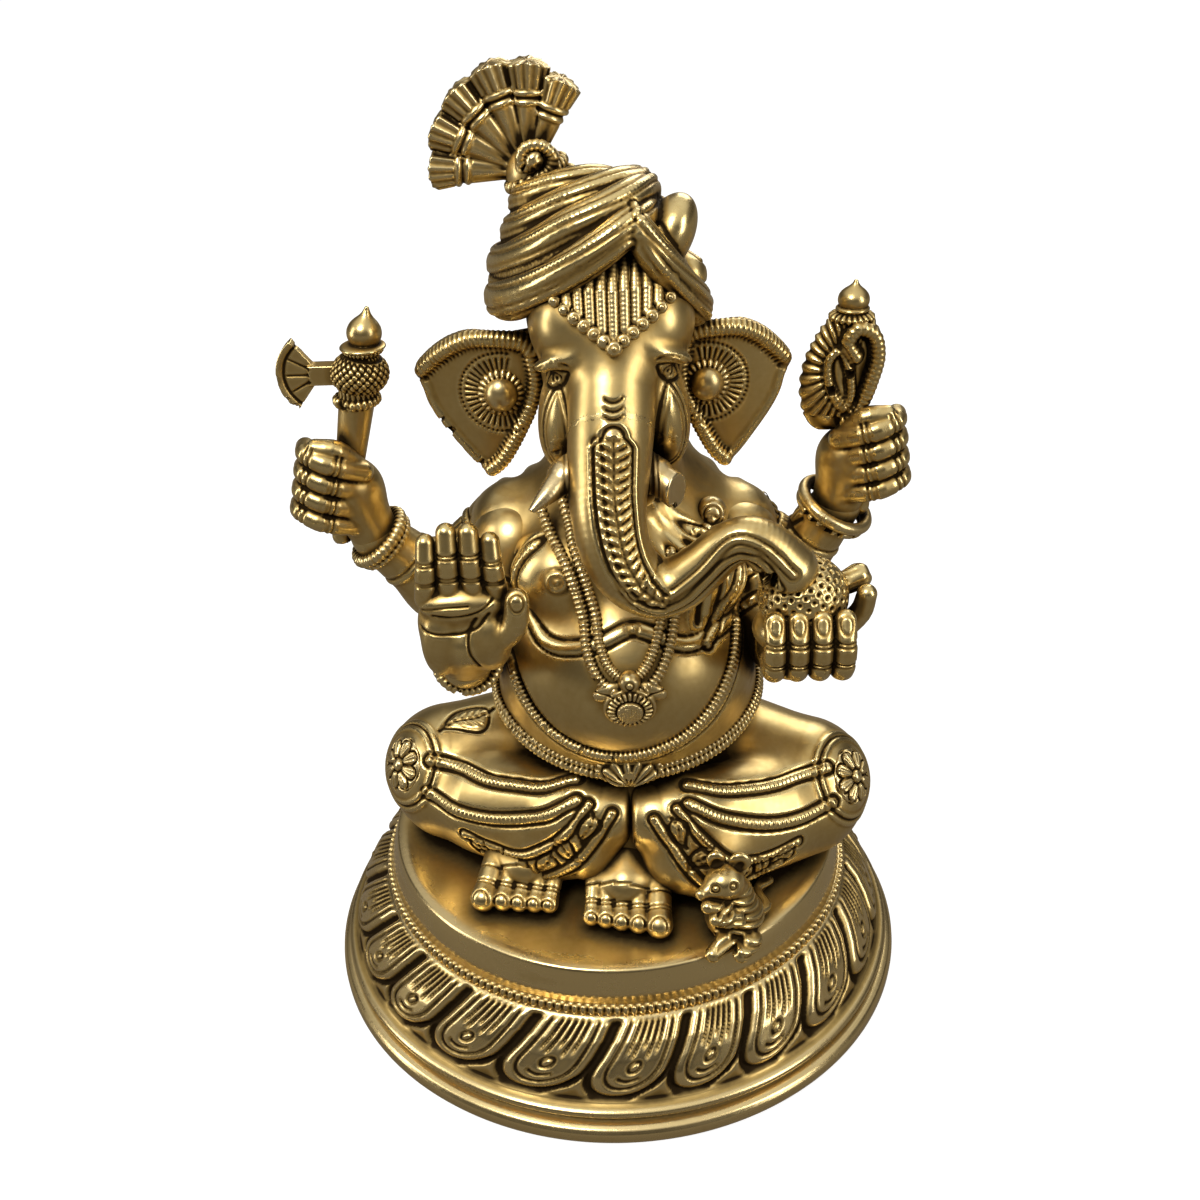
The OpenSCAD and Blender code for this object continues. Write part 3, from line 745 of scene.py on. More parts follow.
for k, rr in (("palm", (14, 12, 8.2)), ("sweet", (15, 13, 8.6)), ("axe", (13, 12, 8.6)), ("noose", (13,
                                        11.5, 8.6))):
    pts = np.array([SH[k], EL[k], WR[k]])
    piece("arm_" + k, cut(0.3, arm(k, *rr), lambda P: body_f(P) + 1.5), pts.min(0) - 19, pts.max(0) + 17,
          1.0, 1, arm_relief(k))


def wrist_ring(node, k, c, n, big, small, ribs):
    n = n / ln(n)
    a = np.cross(n, [0, 0, 1.0])
    a /= ln(a)
    b = np.cross(n, a)
    t = np.linspace(0, TAU, 49)
    Q = c + big * (np.cos(t)[:, None] * a + np.sin(t)[:, None] * b)
    f = U(0.3, path_tube(Q, small), path_tube(Q - n * small * 1.4, small * 0.6))
    piece(node, f, Q.min(0) - 5, Q.max(0) + 5, 0.6, 1, rope_relief(Q, ribs, 0.16) if ribs else None)


wrist_ring("bangle_palm", "palm", WR["palm"] + [0.3, 1.5, 0.5], np.array([0.10, -0.86, 0.50]), 9.9, 1.8,
           1.8)
wrist_ring("bracelet_axe", "axe", WR["axe"] + [1, 0, -1], WR["axe"] - EL["axe"], 10.3, 2.1, 1.9)
wrist_ring("bracelet_noose", "noose", WR["noose"], WR["noose"] - EL["noose"], 12.0, 2.1, 0)

# ---- hands
def finger(pts, r0, r1):
    return tube(pts, np.linspace(r0, r1, len(pts)), 4)


# open palm: four fingers up, thumb on the inner side
HC = V(-44, -62, 128)
pf, pj = [], []
for i, (x, top, w) in enumerate(((-10.2, 24.0, 3.5), (-3.6, 27.2, 3.7), (3.2, 27.0, 3.7), (9.6, 24.0,
                                        3.5))):
    a = HC + [x * 1.08, 0, 6]
    b = HC + [x, -0.8, 6 + (top - 6) * 0.55]
    c = HC + [x * 0.96, 1.2, top]
    pf.append(finger([a, b, c], w, w * 0.82))
    pj.append((x, top))
palm_f = U(2.2, ell(HC + [0, 1, -4], (14.5, 6.0, 17)), cap(WR["palm"], HC + [0, 1, -10], 8.5, 9),
           ell(HC + [7.5, -2.6, -8], (6.5, 5.4, 10)), ell(HC + [-8, -2.2, -9], (5.5, 4.6,
                                        11)), ell(HC + [0, -2.2, 4.5], (13, 4.0, 4.5)))
palm_f = U(0.5, palm_f, *pf)
THUMB = [HC + [9, -3, -8], HC + [15, -4.5, -2], HC + [16.5, -4.5, 7]]
palm_f = U(1.2, palm_f, finger(THUMB, 4.6, 3.6))


def palm_relief(P, N):
    q = P - HC
    h = np.zeros(len(P))
    front = N[:, 1] < 0.1
    for x, top in pj:
        m = (np.abs(q[:, 0] - x) < 3.6) & (q[:, 2] > 7) & front
        for z in (top * 0.48, top * 0.52, top * 0.75, top * 0.79):
            h += m * groove(q[:, 2] - z, 0.32, 0.55)
        h += (np.abs(q[:, 0] - x) < 3.6) * (q[:, 2] > 7) * ~front * groove(q[:, 2] - top * 0.6, 0.5, 0.5)
    for pts in ([(-13, -2.5), (-4, -3.6), (3, -2), (8, 3)], [(-9, 2.5), (-2, 2.2), (5, 4), (9, 7)],
                [(4, 1.5), (1.5, -3), (1.5, -9), (4, -15)], [(-12, 4), (-5, 5.5), (2, 6)]):
        Q = smooth([HC + [x, -6, z] for x, z in pts], 6)
        P2 = P.copy()
        P2[:, 1] = HC[1] - 6
        d, s = along(P2, Q)
        h += groove(d, 0.45, 0.6) * front
    tip = THUMB[2] + [0, -3.0, 0.5]
    d = ln((P - tip) * [1, 0.6, 0.8])
    h += groove(d - 2.3, 0.35, 0.5) * (q[:, 0] > 11)
    return h


piece("hand_palm", palm_f, HC - [22, 14, 24], HC + [24, 16, 34], 0.75, 1, palm_relief)


def fist(k, c0, grip, toward, knuckle, size=1.28):
    """A hand closed round a rod along grip; toward points at the viewer, knuckle the way the fingers curl."""
    c = np.zeros(3)
    grip = grip / ln(grip)
    toward = toward / ln(toward)
    knuckle = knuckle / ln(knuckle)
    fs = [ell(c - knuckle * 3 + toward * -1, (9, 8, 9)), cap((WR[k] - c0) / size, c - knuckle * 4,
                                        8.2 / size, 7.4)]
    tips = []
    for i in range(4):
        o = grip * (i - 1.5) * 5.1
        p = [c + o - knuckle * 6 + toward * 3, c + o * 1.05 + knuckle * 2 + toward * 8.6,
             c + o * 1.05 + knuckle * 8.5 + toward * 7.0,
             c + o * 1.05 + knuckle * 9.5 + toward * 1.5]
        tips.append(p)
        fs.append(finger(p, 2.9, 2.5))
    th = [c - knuckle * 4 + grip * 8 + toward * 2, c + knuckle * 1 + grip * 11.5 + toward * 6,
          c + knuckle * 6.5 + grip * 10.5 + toward * 7]
    fs.append(finger(th, 3.2, 2.6))
    unit = U(0.6, U(3, fs[0], fs[1]), *fs[2:])

    def f(P):
        return unit((P - c0) / size) * size

    def g(P, N):
        h = np.zeros(len(P))
        P = (P - c0) / size
        for p in tips:
            Q = smooth(p, 4)
            d, s = along(P, Q, 5)
            L = ln(Q[1:] - Q[:-1]).sum()
            for t in (0.34, 0.4, 0.64, 0.7):
                h += (d < 3.6) * groove(s - L * t, 0.35, 0.5)
        return h
    return f, g


axe_grip = np.array([0.22, 0.03, 1.0])
fa, ga = fist("axe", V(-89.5, -1, 143), axe_grip, np.array([0.1, -1.0, 0.1]), np.array([-0.85, 0.1, 0.35]))
piece("hand_axe", fa, V(-116, -24, 114), V(-62, 22, 172), 0.75, 1, ga)
fn, gn = fist("noose", V(86, -1, 149), np.array([-0.15, 0.02, 1.0]), np.array([-0.1, -1.0, 0.1]),
              np.array([0.9, 0.1, 0.3]))
piece("hand_noose", fn, V(60, -24, 118), V(116, 22, 178), 0.75, 1, gn)

# hand with the sweet: fingers in front of it
SC = V(57, -66, 134.5)
hs = [ell(SC + [1, 3, -14], (15, 12, 9)), cap(WR["sweet"], SC + [1, 4, -12], 8.6, 9)]
sf = []
for i in range(4):
    x = -9.6 + 6.7 * i
    sf.append([SC + [x * 0.95, -6, -20], SC + [x, -15.5, -17.5], SC + [x * 1.02, -17.5, -9],
               SC + [x * 1.02, -14.0, -1.5]])
sweet_hand = U(0.6, U(3, *hs), *[finger(p, 3.6, 3.1) for p in sf], finger([SC + [11, -1, -14], SC + [17,
                                        -3, -6], SC + [18.5, -4, 1]], 3.8, 3.0))


def sweet_hand_relief(P, N):
    q = P - SC
    h = np.zeros(len(P))
    for i in range(4):
        x = -9.8 + 6.8 * i
        m = (np.abs(q[:, 0] - x) < 3.5) & (q[:, 1] < -8)
        for z in (-14.5, -13.3, -7.6, -6.4):
            h += m * groove(q[:, 2] - z, 0.35, 0.6)
        nail = np.sqrt(((q[:, 0] - x) / 2.0) ** 2 + ((q[:, 2] + 1.5) / 2.4) ** 2)
        h += m * groove((nail - 1) * 2, 0.3, 0.35)
    return h


piece("hand_sweet", sweet_hand, SC - [24, 26, 30], SC + [26, 22, 10], 0.75, 1, sweet_hand_relief)

sweet_f = U(2, ell(SC + [0, -2, 0], (13, 12.5, 12)), cap(SC + [14, 2, 2], SC + [17, 3, 3], 3.2, 3.6))
_i = np.arange(260)
_z = 1 - 2 * (_i + 0.5) / 260
_a = _i * TAU * 0.61803398875
DOTS = np.stack([np.sqrt(1 - _z ** 2) * np.cos(_a), np.sqrt(1 - _z ** 2) * np.sin(_a), _z], 1)


def sweet_relief(P, N):
    q = P - SC - np.array([0, -2, 0])
    q = q / (ln(q)[:, None] + 1e-9)
    best = np.full(len(q), 9.0)
    for k in range(0, len(q), 20000):
        best[k:k + 20000] = np.arccos(np.clip((q[k:k + 20000] @ DOTS.T).max(1), -1, 1))
    r = best * 12.5
    return ridge(r - 1.15, 0.7, 0.55) + groove(r, 0.6, 0.5)


piece("sweet", sweet_f, SC - 17, SC + [24, 17, 17], 0.7, 1, sweet_relief)

# ---- axe
AH = V(-90.5, 0, 124)
AT = V(-79.0, 0, 176.5)
ad = (AT - AH) / ln(AT - AH)
HB = AT + ad * 6
handle_f = U(0.4, cap(AH, AT, 3.4, 6.0), tube([HB - ad * 9 + 6.2 * np.array([math.cos(t), math.sin(t),
                                        0.0]) for t in np.linspace(0, TAU, 9)[:-1]], 1.6, 4, True))
piece("axe_handle", handle_f, V(-104, -14, 122), V(-70, 14, 186), 0.7, 1,
      lambda P, N: 0.3 * np.cos(np.arctan2(P[:, 1], P[:, 0] - AT[0]) * 22) * (P[:, 2] > HB[2] - 11))
head_axe_f = U(0.5, ell(HB, (9.6, 9.4, 7.6)), ell(HB + ad * 7.8, (6.6, 6.6, 1.7)))


def lattice(P, N):
    q = P - HB
    a = np.arctan2(q[:, 1], q[:, 0]) * 10
    z = q @ ad
    m = np.abs(z) < 5.6
    h = m * (groove((a + z) % 2.9 - 1.45, 0.4, 0.7) + groove((a - z) % 2.9 - 1.45, 0.4, 0.7))
    h += groove(np.abs(z) - 6.2, 0.4, 0.6)
    return h + (np.abs(z) > 6.6) * 0.3 * np.cos(a * TAU / 2.0)


piece("axe_head", head_axe_f, HB - 15, HB + 17, 0.6, 1, lattice)

BC = HB + np.array([-12.0, 0, 0.2])


def blade_f(P):
    q = P - BC
    r = np.sqrt(q[..., 0] ** 2 + q[..., 2] ** 2)
    a = np.abs(np.arctan2(q[..., 2], -q[..., 0]))
    fan = np.maximum(r - 14.5, (a - 0.92) * np.maximum(r, 2.0))
    neck = np.maximum(np.abs(q[..., 2]) - 3.2, np.maximum(-q[..., 0] - 4, q[..., 0] - 12))
    th = 1.5 + 0.9 * np.clip((r - 12.0) / 2.0, 0, 1)
    return smin(np.maximum(fan, np.abs(q[..., 1]) - th), np.maximum(neck, np.abs(q[..., 1]) - 2.6), 0.8)


def blade_relief(P, N):
    q = P - BC
    r = np.sqrt(q[:, 0] ** 2 + q[:, 2] ** 2)
    a = np.arctan2(q[:, 2], -q[:, 0])
    h = groove(r - 12.0, 0.4, 0.45) * (q[:, 0] < 0)
    for c in (-0.5, 0.0, 0.5):
        h += groove((a - c) * r, 0.45, 0.5) * (r > 4) * (r < 11.5) * (q[:, 0] < 0)
    return h


piece("axe_blade", blade_f, BC - [17, 6, 15], BC + [13, 6, 15], 0.6, 1, blade_relief)
AF = HB + ad * 9
finial_f = U(0.5, U(2, ell(AF + ad * 4.6, (5.6, 5.6, 5.2)), cap(AF + ad * 7, AF + ad * 12.6, 3.4, 0.8)),
             ell(AF, (7.4, 7.4, 1.6)))
piece("axe_finial", finial_f, AF - 10, AF + [12, 10, 19], 0.6, 1)

# ---- noose: a paisley of cord with rays
NG = V(86, 0, 130)
NB = V(84, 0, 158)


def noose_shape(P):
    d = np.minimum(cap(NG, NB, 3.6, 4.6)(P), 1e9)
    body = U(3, ell(V(75.5, 0, 177), (11.3, 5.4, 19.5), rotm(0, 10)), ell(V(79.5, 0, 188), (9.6, 5.4,
                                        10)), cap(NB, V(77, 0, 170), 4.6, 5.6))
    return smin(d, body(P), 3)


CURL = smooth([V(79.5, -5, 162), V(83.5, -5.6, 169), V(86, -6, 177), V(87.4, -6, 185), V(85.5, -6.2, 192),
               V(80.5, -6.4, 194), V(77.5, -6.2, 189.5),
               V(80, -6.2, 185)], 8)
DROP = smooth([V(78, -5, 167), V(73, -6, 174), V(71.5, -6.2, 183), V(75.3, -6.2, 187), V(78.3, -6.2, 181),
               V(79.6, -5.8, 172)], 8, True)
noose_f = U(0.5, noose_shape, path_tube(CURL, 2.3), path_tube(DROP, 1.3))


def noose_relief(P, N):
    h = np.zeros(len(P))
    q = P - V(77.5, 0, 180)
    a = np.arctan2(q[:, 2] / 1.5, q[:, 0])
    r = np.sqrt(q[:, 0] ** 2 + (q[:, 2] / 1.75) ** 2)
    body = (P[:, 2] > DECK + 164) & (P[:, 0] < 82 + 6 * (P[:, 2] > DECK + 190))
    ray = 0.4 * np.cos(a * 30)
    d, s = along(P, DROP, 9)
    d2, s2 = along(P, CURL, 9)
    free = (d > 2.0) & (d2 > 3.0) & body
    h += free * (r > 6.0) * ray
    h += (d2 < 3) * 0.12 * np.cos(TAU * s2 / 1.8)
    h += (d < 2.2) * 0.1 * np.cos(TAU * s / 1.6) + groove(np.abs(d2 - 3.0), 0.5,
                                        0.5) + groove(np.abs(d - 2.2), 0.4, 0.4)
    t = P[:, 2] - DECK
    h += (np.abs(t - 161) < 3.0) * 0.4 * np.cos(np.arctan2(P[:, 1], P[:, 0] - 82) * 16) * (P[:, 0] < 95)
    return h


piece("noose", noose_f, V(56, -12, 124), V(99, 12, 208), 0.7, 1, noose_relief)
NF = V(79.2, 0, 196.2)
nd = np.array([0.06, 0, 1.0])
nf_f = U(0.6, ell(NF, (7.2, 6.6, 2.0)), ell(NF + nd * 2.6, (5.4, 5.2, 1.4)), U(1.6, ell(NF + nd * 5.4,
                                        (5.0, 5.0, 4.2)), cap(NF + nd * 7, NF + nd * 11.0, 2.8, 0.8)))
piece("noose_finial", nf_f, NF - 9, NF + [9, 9, 17], 0.6, 1,
      lambda P, N: (P[:, 2] < NF[2] + 1.6) * 0.3 * np.cos(np.arctan2(P[:, 1], P[:, 0] - NF[0]) * 20))

# ---- head and trunk: one skin, parted at the trunk's root
H0 = V(3, -16, 190)
TR = [V(3, -34, 199), V(2.0, -44, 184), V(0.8, -52, 170), V(0.2, -58, 161), V(1.4, -62.5, 151.5), V(5.5,
                                        -65.5, 143.2), V(12.5, -67.5, 138.6),
      V(20, -68.5, 140.0), V(27, -69.3, 146.0), V(33.5, -70, 152.6), V(39.5, -70.8, 155.4), V(45.5, -71.3,
                                        152.6), V(51.5, -71.5, 145.5)]
TRR = [13.0, 13.0, 12.2, 11.3, 10.6, 10.1, 9.4, 8.4, 7.4, 6.8, 6.7, 7.5, 8.8]
trunk_tube = tube(TR, TRR, 6)
skull = U(9, ell(V(3, -12, 206), (25.5, 27, 27)), ell(V(3, -24, 203), (21, 21, 21)), ell(V(3, -18, 213),
                                        (20, 20, 23)), ell(V(3, -6, 182), (22, 20, 22)))
domes = [ell(V(3 + s * 13, -30, 206), (10, 11.5, 12), rotm(0, s * 18)) for s in (-1, 1)]
cheeks = [ell(V(3 + s * 15.0, -31, 180), (7.8, 13, 18), rotm(0, s * -8)) for s in (-1, 1)]
EYE = {-1: V(-13.5, -39, 193.5), 1: V(19.0, -39, 194.8)}
brows = [ell(EYE[s] + [s * 0.5, -1.0, 5.2], (7.5, 3.4, 2.4), rotm(0, s * 22, s * 24)) for s in (-1, 1)]
lips = U(3, ell(V(4, -42, 156), (8, 8, 5)), cap(V(-10, -30, 165), V(-3, -42, 157), 5, 4), cap(V(17, -30,
                                        165), V(11, -42, 157), 5, 4))
face_f = U(3, U(3, U(6, U(5, skull, *domes), trunk_tube), *cheeks), *brows, lips)
face_f = cut(1.0, face_f, cap(V(53.5, -74, 137), V(47.5, -71.5, 148.5), 6.8, 3.8))
SEAM_C, SEAM_N = V(3, -44, 176), np.array([0, -0.72, -0.69])


def seam(P):
    return (P - SEAM_C) @ SEAM_N


for s in (-1, 1):
    EYE[s] = settle(face_f, EYE[s][None], 8)[0][0]
FRONT = lay(face_f, [V(2.8, -66, 186), V(3.4, -74, 174), V(4.6, -78, 163), V(7, -82, 151.5), V(11, -83,
                                        142.5), V(17, -83, 136.5)], 0)
RIM = lay(face_f, [V(-4.5, -64, 184), V(-4.2, -74, 172), V(-3, -78, 160), V(0.5, -80, 148), V(6, -82,
                                        137.5), V(14.5, -84, 132.5), V(24, -83, 137.5),
                   V(34, -82, 149.5), V(42, -82, 149.5), V(47.5, -81, 143)], 0)
RIM2 = lay(face_f, [V(17, -80, 141), V(25, -80, 148), V(34, -78, 158.5), V(43, -80, 157), V(52, -80,
                                        148)], 0)
SMILES = [settle(face_f, V(3.0, -66, z)[None], 8)[0][0] for z in (198.5, 195.8, 193.1)]


def local(P, c, n, up):
    n = n / ln(n)
    u = np.cross(up, n)
    u /= ln(u)
    v = np.cross(n, u)
    q = P - c
    return q @ u, q @ v, q @ n


def face_relief(P, N):
    h = np.zeros(len(P))
    for s in (-1, 1):
        u, v, w = local(P, EYE[s], np.array([s * 0.42, -0.9, 0.05]), np.array([0, 0, 1.0]))
        u, v = u * s / 0.70, v / 0.70
        uu, vv = u * math.cos(0.55) - v * math.sin(0.55), -u * math.sin(0.55) * -1 + v * math.cos(0.55)
        m = (np.abs(w) < 9) & (np.abs(u) < 14) & (np.abs(v) < 12)
        lid = 3.3 * np.clip(1 - (uu / 8.0) ** 2, 0, 1)
        e = np.abs(vv) - lid
        inside = (np.abs(uu) < 8.0) & (e < 0)
        h += m * (groove(np.abs(vv) - lid, 0.7,
                         0.9) * (np.abs(uu) < 8.6) + inside * 0.6 * (1 - (uu / 8.0) ** 2))
        r = np.sqrt((uu + 0.6) ** 2 + vv ** 2)
        h += m * inside * (groove(r - 2.5, 0.45, 0.6) + groove(r, 0.9, 0.8))
        for k, dd in ((5.4, 0.5), (7.4, 0.6)):
            arc = vv - k * np.clip(1 - (uu / 13.0) ** 2, 0, 1) ** 0.8
            h += m * groove(arc, 0.6, dd) * (np.abs(uu) < 10.5)
        # the leaf-shaped cheek's engraved border
        u, v, w = local(P, V(3 + s * 16.0, -40, 178), np.array([s * 0.5, -0.85, -0.1]), np.array([0, 0,
                                        1.0]))
        leaf = np.abs(u) - 5.6 * np.clip(1 - ((v + 1) / 15.0) ** 2, 0, 1) ** 0.8
        h += (np.abs(w) < 9) * (np.abs(v) < 14) * (groove(leaf, 0.6, 0.55) + groove(leaf + 2.0, 0.4, 0.25))
    for c in SMILES:
        u, v, w = local(P, c, np.array([0, -1.0, 0]), np.array([0, 0, 1.0]))
        h += groove(v + 0.6 - 0.13 * u * u, 0.40, 0.7) * (np.abs(u) < 2.9) * (np.abs(w) < 6)
    d, s = along(P, FRONT, 11)
    L = ln(FRONT[1:] - FRONT[:-1]).sum()
    w0 = 5.4 * np.clip(1 - (s / L) ** 3, 0, 1) ** 0.5 * np.clip(s / 3.5 + 0.25, 0, 1) ** 0.5
    m = (d < w0) & (N[:, 1] < 0.3)
    h += np.where(m, 0.35 + 0.55 * np.cos(TAU * (s + 0.55 * d) / 3.0) * step(d, 0.2, 0.9) * step(w0 - d,
                                        0.0, 0.8), 0)
    h += groove(d, 0.45, 0.7) * m
    h += (groove(d - w0 - 0.5, 0.5, 0.8) + ridge(d - w0 - 1.6, 0.8, 0.35)) * (d < 9) * (N[:,
                                        1] < 0.3) * (s < L - 0.5)
    for q, up in ((RIM, 1.0), (RIM2, 0.8)):
        d, s = along(P, q, 6)
        h += (ridge(d, 0.9, 0.4) + groove(d - 1.5, 0.5, 0.6)) * up
    return h


piece("head", both(0.05, both(1, face_f, lambda P: DECK + 150 - P[..., 2]), lambda P: seam(P) - 1.2),
      V(-30, -66, 146), V(36, 18, 238), 0.95, 1, face_relief)
piece("trunk", both(0.05, face_f, lambda P: -seam(P) - 1.2), V(-22, -92, 122), V(66, -34, 202), 0.9, 1,
      face_relief)

TL = [V(-5, -46, 168.5), V(-12, -52, 168), V(-17, -58, 165.5), V(-22, -63, 162.5)]
piece("tusk_full", U(0.5, tube(TL, [4.9, 4.4, 3.1, 0.9], 6), tube([V(-9.5, -50, 168.4), V(-12, -52, 168)],
                                        [5.9, 5.5], 4)),
      V(-32, -74, 152), V(2, -38, 180), 0.6, 1,
      lambda P, N: 0.15 * np.cos(P[:, 0] * TAU / 1.6) * (P[:, 0] > -12.5))
TB = [V(8, -40, 166.5), V(15.5, -46.5, 164), V(22, -51, 160.5)]
piece("tusk_broken", U(0.5, both(0.5, tube(TB, [4.8, 5.0, 5.2], 6), lambda P: P[..., 0] * 0.8 - P[...,
                                        1] * 0.6 - 46.8), tube([V(12, -43, 165.2), V(14.5, -45.6, 164.4)],
                                        [5.8, 5.8], 4)),
      V(2, -64, 150), V(32, -34, 178), 0.6, 1, lambda P, N: 0.15 * np.cos(P[:, 0] * TAU / 1.6) * (P[:,
                                        0] < 16))

# ---- ears
EAR = [(17, 6), (22, 8), (30, 7.2), (35, 7.8), (41, 8), (47, 5.5), (52.5, 1), (57.0, -4.5), (57.2, -7.5),
       (55, -11), (54, -16), (51, -22), (46, -29),
       (41, -36), (36.6, -40), (33, -38), (31, -32), (28, -26), (24, -19), (19, -12), (16, -2)]


def poly_d(x, z, Q):
    n = len(Q)
    d = np.full(x.shape, 1e18)
    sgn = np.ones(x.shape)
    for i in range(n):
        a, b = Q[i], Q[(i + 1) % n]
        e = b - a
        wx, wz = x - a[0], z - a[1]
        t = np.clip((wx * e[0] + wz * e[1]) / (e @ e + 1e-12), 0, 1)
        d = np.minimum(d, (wx - e[0] * t) ** 2 + (wz - e[1] * t) ** 2)
        c = ((z >= a[1]) != (z >= b[1])) & ((wx * e[1] - wz * e[0]) * np.sign(e[1]) < 0)
        sgn = np.where(c, -sgn, sgn)
    return sgn * np.sqrt(d)


def ear(side):
    k = 1.1 if side < 0 else 1.0
    dz = -1.5 if side < 0 else 0
    base = H0 + [0, 12, dz]
    out = smooth([(x * k, z) for x, z in EAR], 5, True)[:-1]

    def plane(x):
        return base[1] + 0.5 + 0.0065 * (x - 33) ** 2 - 1.0 * np.sin((x - 16) / 13)

    def f(P):
        x, z = (P[..., 0] - base[0]) * side, P[..., 2] - base[2]
        return np.maximum(poly_d(x, z, out), np.abs(P[..., 1] - plane(x)) - 1.7) * 0.9

    def lift(pts, dy):
        pts = smooth([(x * k, z) for x, z in pts], 8)
        return np.stack([base[0] + side * pts[:, 0], plane(pts[:, 0]) + dy, base[2] + pts[:, 1]], 1)
    top = lift([(22, 3), (27, 5.2), (33, 6), (40, 5.8), (46, 3), (51.5, -1.6), (55.5, -6.0)], -2.0)
    inner = lift([(23, 1), (22, -8), (24, -17), (27, -24), (30, -30), (33, -35), (36.4, -38.4)], -2.4)
    outer = lift([(56.0, -7.0), (54, -12), (52.5, -17), (49.5, -22.5), (45, -29), (40, -35.5), (36.6,
                                        -38.6)], -1.2)
    full = U(1.2, f, tube(top[::4], np.linspace(3.0, 2.2, len(top[::4])), 4), path_tube(inner, 2.4),
             path_tube(outer, 1.3))
    bossc = lift([(32.2 if side < 0 else 30.1, -12.0), (32.4 if side < 0 else 30.3, -12.0)], 0)[0]

    def g(P, N):
        h = np.zeros(len(P))
        front = N[:, 1] < 0.2
        d, s = along(P, top, 7)
        h += (d < 3.9) * 0.2 * np.cos(TAU * s / 1.65) * (N[:, 1] < 0.5)
        d, s = along(P, inner, 6)
        h += (d < 3.2) * 0.2 * np.cos(TAU * s / 1.65)
        q = P - bossc
        u, v = q[:, 0] * side, q[:, 2]
        r = np.sqrt(u * u + v * v)
        a = np.arctan2(v, u)
        fan = front * (np.abs(a + 0.15) < 2.0)
        h += fan * (r > 7.4) * (r < 11.8) * 0.42 * np.cos(a * 36)
        da = (a * 13.2 / 1.5) % 1 - 0.5
        h += fan * groove(np.hypot(r - 13.2, da * 1.5), 0.45, 0.8)
        return h
    return full, g, bossc


for side, nm in ((-1, "left"), (1, "right")):
    f, g, bc = ear(side)
    lo = H0 + [min(side * 13, side * 68), -2, -48]
    hi = H0 + [max(side * 13, side * 68), 26, 18]
    piece("ear_" + nm, f, lo, hi, 0.75, 1, g)
    fb = U(0.4, ell(bc + [0, -2.6, 0], (5.3, 4.6, 5.8)), ell(bc + [0, -1.4, 0], (7.4, 2.4, 7.8)))
    piece("ear_boss_" + nm, fb, bc - 11, bc + 11, 0.6, 1,
          (lambda bc: lambda P, N: 0.3 * np.cos(np.arctan2(P[:, 2] - bc[2], P[:, 0] - bc[0]) * 22) *
           (np.hypot(P[:, 0] - bc[0], P[:, 2] - bc[2]) > 5.6))(bc))

# ---- forehead fringe of rods edged with beads
fr, rods = [], []
for i in range(-4, 5):
    a = drop(face_f, 3.2 + i * 3.3, 230.5 - 1.6 * abs(i))
    b = drop(face_f, 3.2 + i * 3.2, 207.5 + 2.0 * abs(i))
    m = drop(face_f, 3.2 + i * 3.25, 219 + 0.2 * abs(i))
    rods.append(smooth([a, m, b], 5))
    fr.append(cap(a, m, 1.45, 1.65))
    fr.append(cap(m, b, 1.65, 1.65))
beads = []
for i in range(-6, 7):
    c = drop(face_f, 3.2 + i * 2.75, 205.2 + 1.85 * abs(i))
    beads.append(ball(c + [0, -0.8, 0], 2.5 if i == 0 else 2.15 if abs(i) < 5 else 1.8))
BEADS = [drop(face_f, 3.2 + i * 2.75, 205.2 + 1.85 * abs(i)) + [0, -2.6, 0.6] for i in range(-6, 7)]


def fringe_relief(P, N):
    h = np.zeros(len(P))
    for q in rods:
        d, s = along(P, q, 3)
        h += (d < 1.9) * 0.03 * np.cos(TAU * s / 1.3)
    for c in BEADS:
        h += groove(ln(P - c) - 1.1, 0.3, 0.35)
    return h


piece("forehead_fringe", U(0.25, *fr, *beads), V(-20, -64, 198), V(27, -22, 238), 0.55, 1, fringe_relief)


# ---- turban
def wrap(pts, rs):
    """An open wrap: its tube with two ribbed edges above and below its middle."""
    tub.append(tube(pts, rs, 5))
    q = smooth(pts, 6)
    rr = smooth(np.asarray(rs, float)[:, None], 6)[:, 0]
    o = q - V(-2, -4, 0)
    o[:, 2] = 0
    o = o / ln(o)[:, None]
    for up in (0.85, 0.0, -0.60):
        e = q + o * (rr * math.cos(up))[:, None] + np.array([0, 0, 1.0]) * (rr * math.sin(up))[:, None]
        (CRESS if up == 0 else trims).append(e)


tub, trims, CRESS = [], [], []
wrap([V(-14, 22, 206), V(-24, 12, 206), V(-28, 1, 207), V(-28.5, -10, 209), V(-25, -21, 212.5), V(-17,
                                        -30.5, 218.5), V(-8, -36.5, 225), V(1, -38, 231.5),
      V(7.5, -36, 236), V(12, -29, 237), V(14, -18, 236)], [6.4, 6.8, 7, 7, 6.8, 6.4, 6.0, 5.6, 5.2, 4.6,
                                        4.4])
wrap([V(-8, 22, 214), V(-19, 16, 214), V(-26, 6, 215.5), V(-27.5, -5, 217.5), V(-24, -16, 221.5), V(-16,
                                        -26, 228), V(-7, -31, 234.5), V(2.5, -30.5, 239),
      V(9, -25, 241), V(12, -15, 240.5), V(13, -4, 238), V(11, 8, 235)], [6.6, 6.8, 7, 7, 6.8, 6.6, 6.4,
                                        6, 6, 6, 6, 6])
wrap([V(0, 20, 221), V(-12, 17, 221), V(-21, 9, 223), V(-23.5, -1, 225.5), V(-21, -12, 230), V(-13, -20,
                                        236), V(-4, -22.5, 240.5), V(5, -19, 242.5),
      V(10, -10, 241), V(11, 2, 238), V(7, 12, 233)], [6.4, 6.4, 6.6, 6.6, 6.4, 6.2, 6, 6, 6, 6, 6])
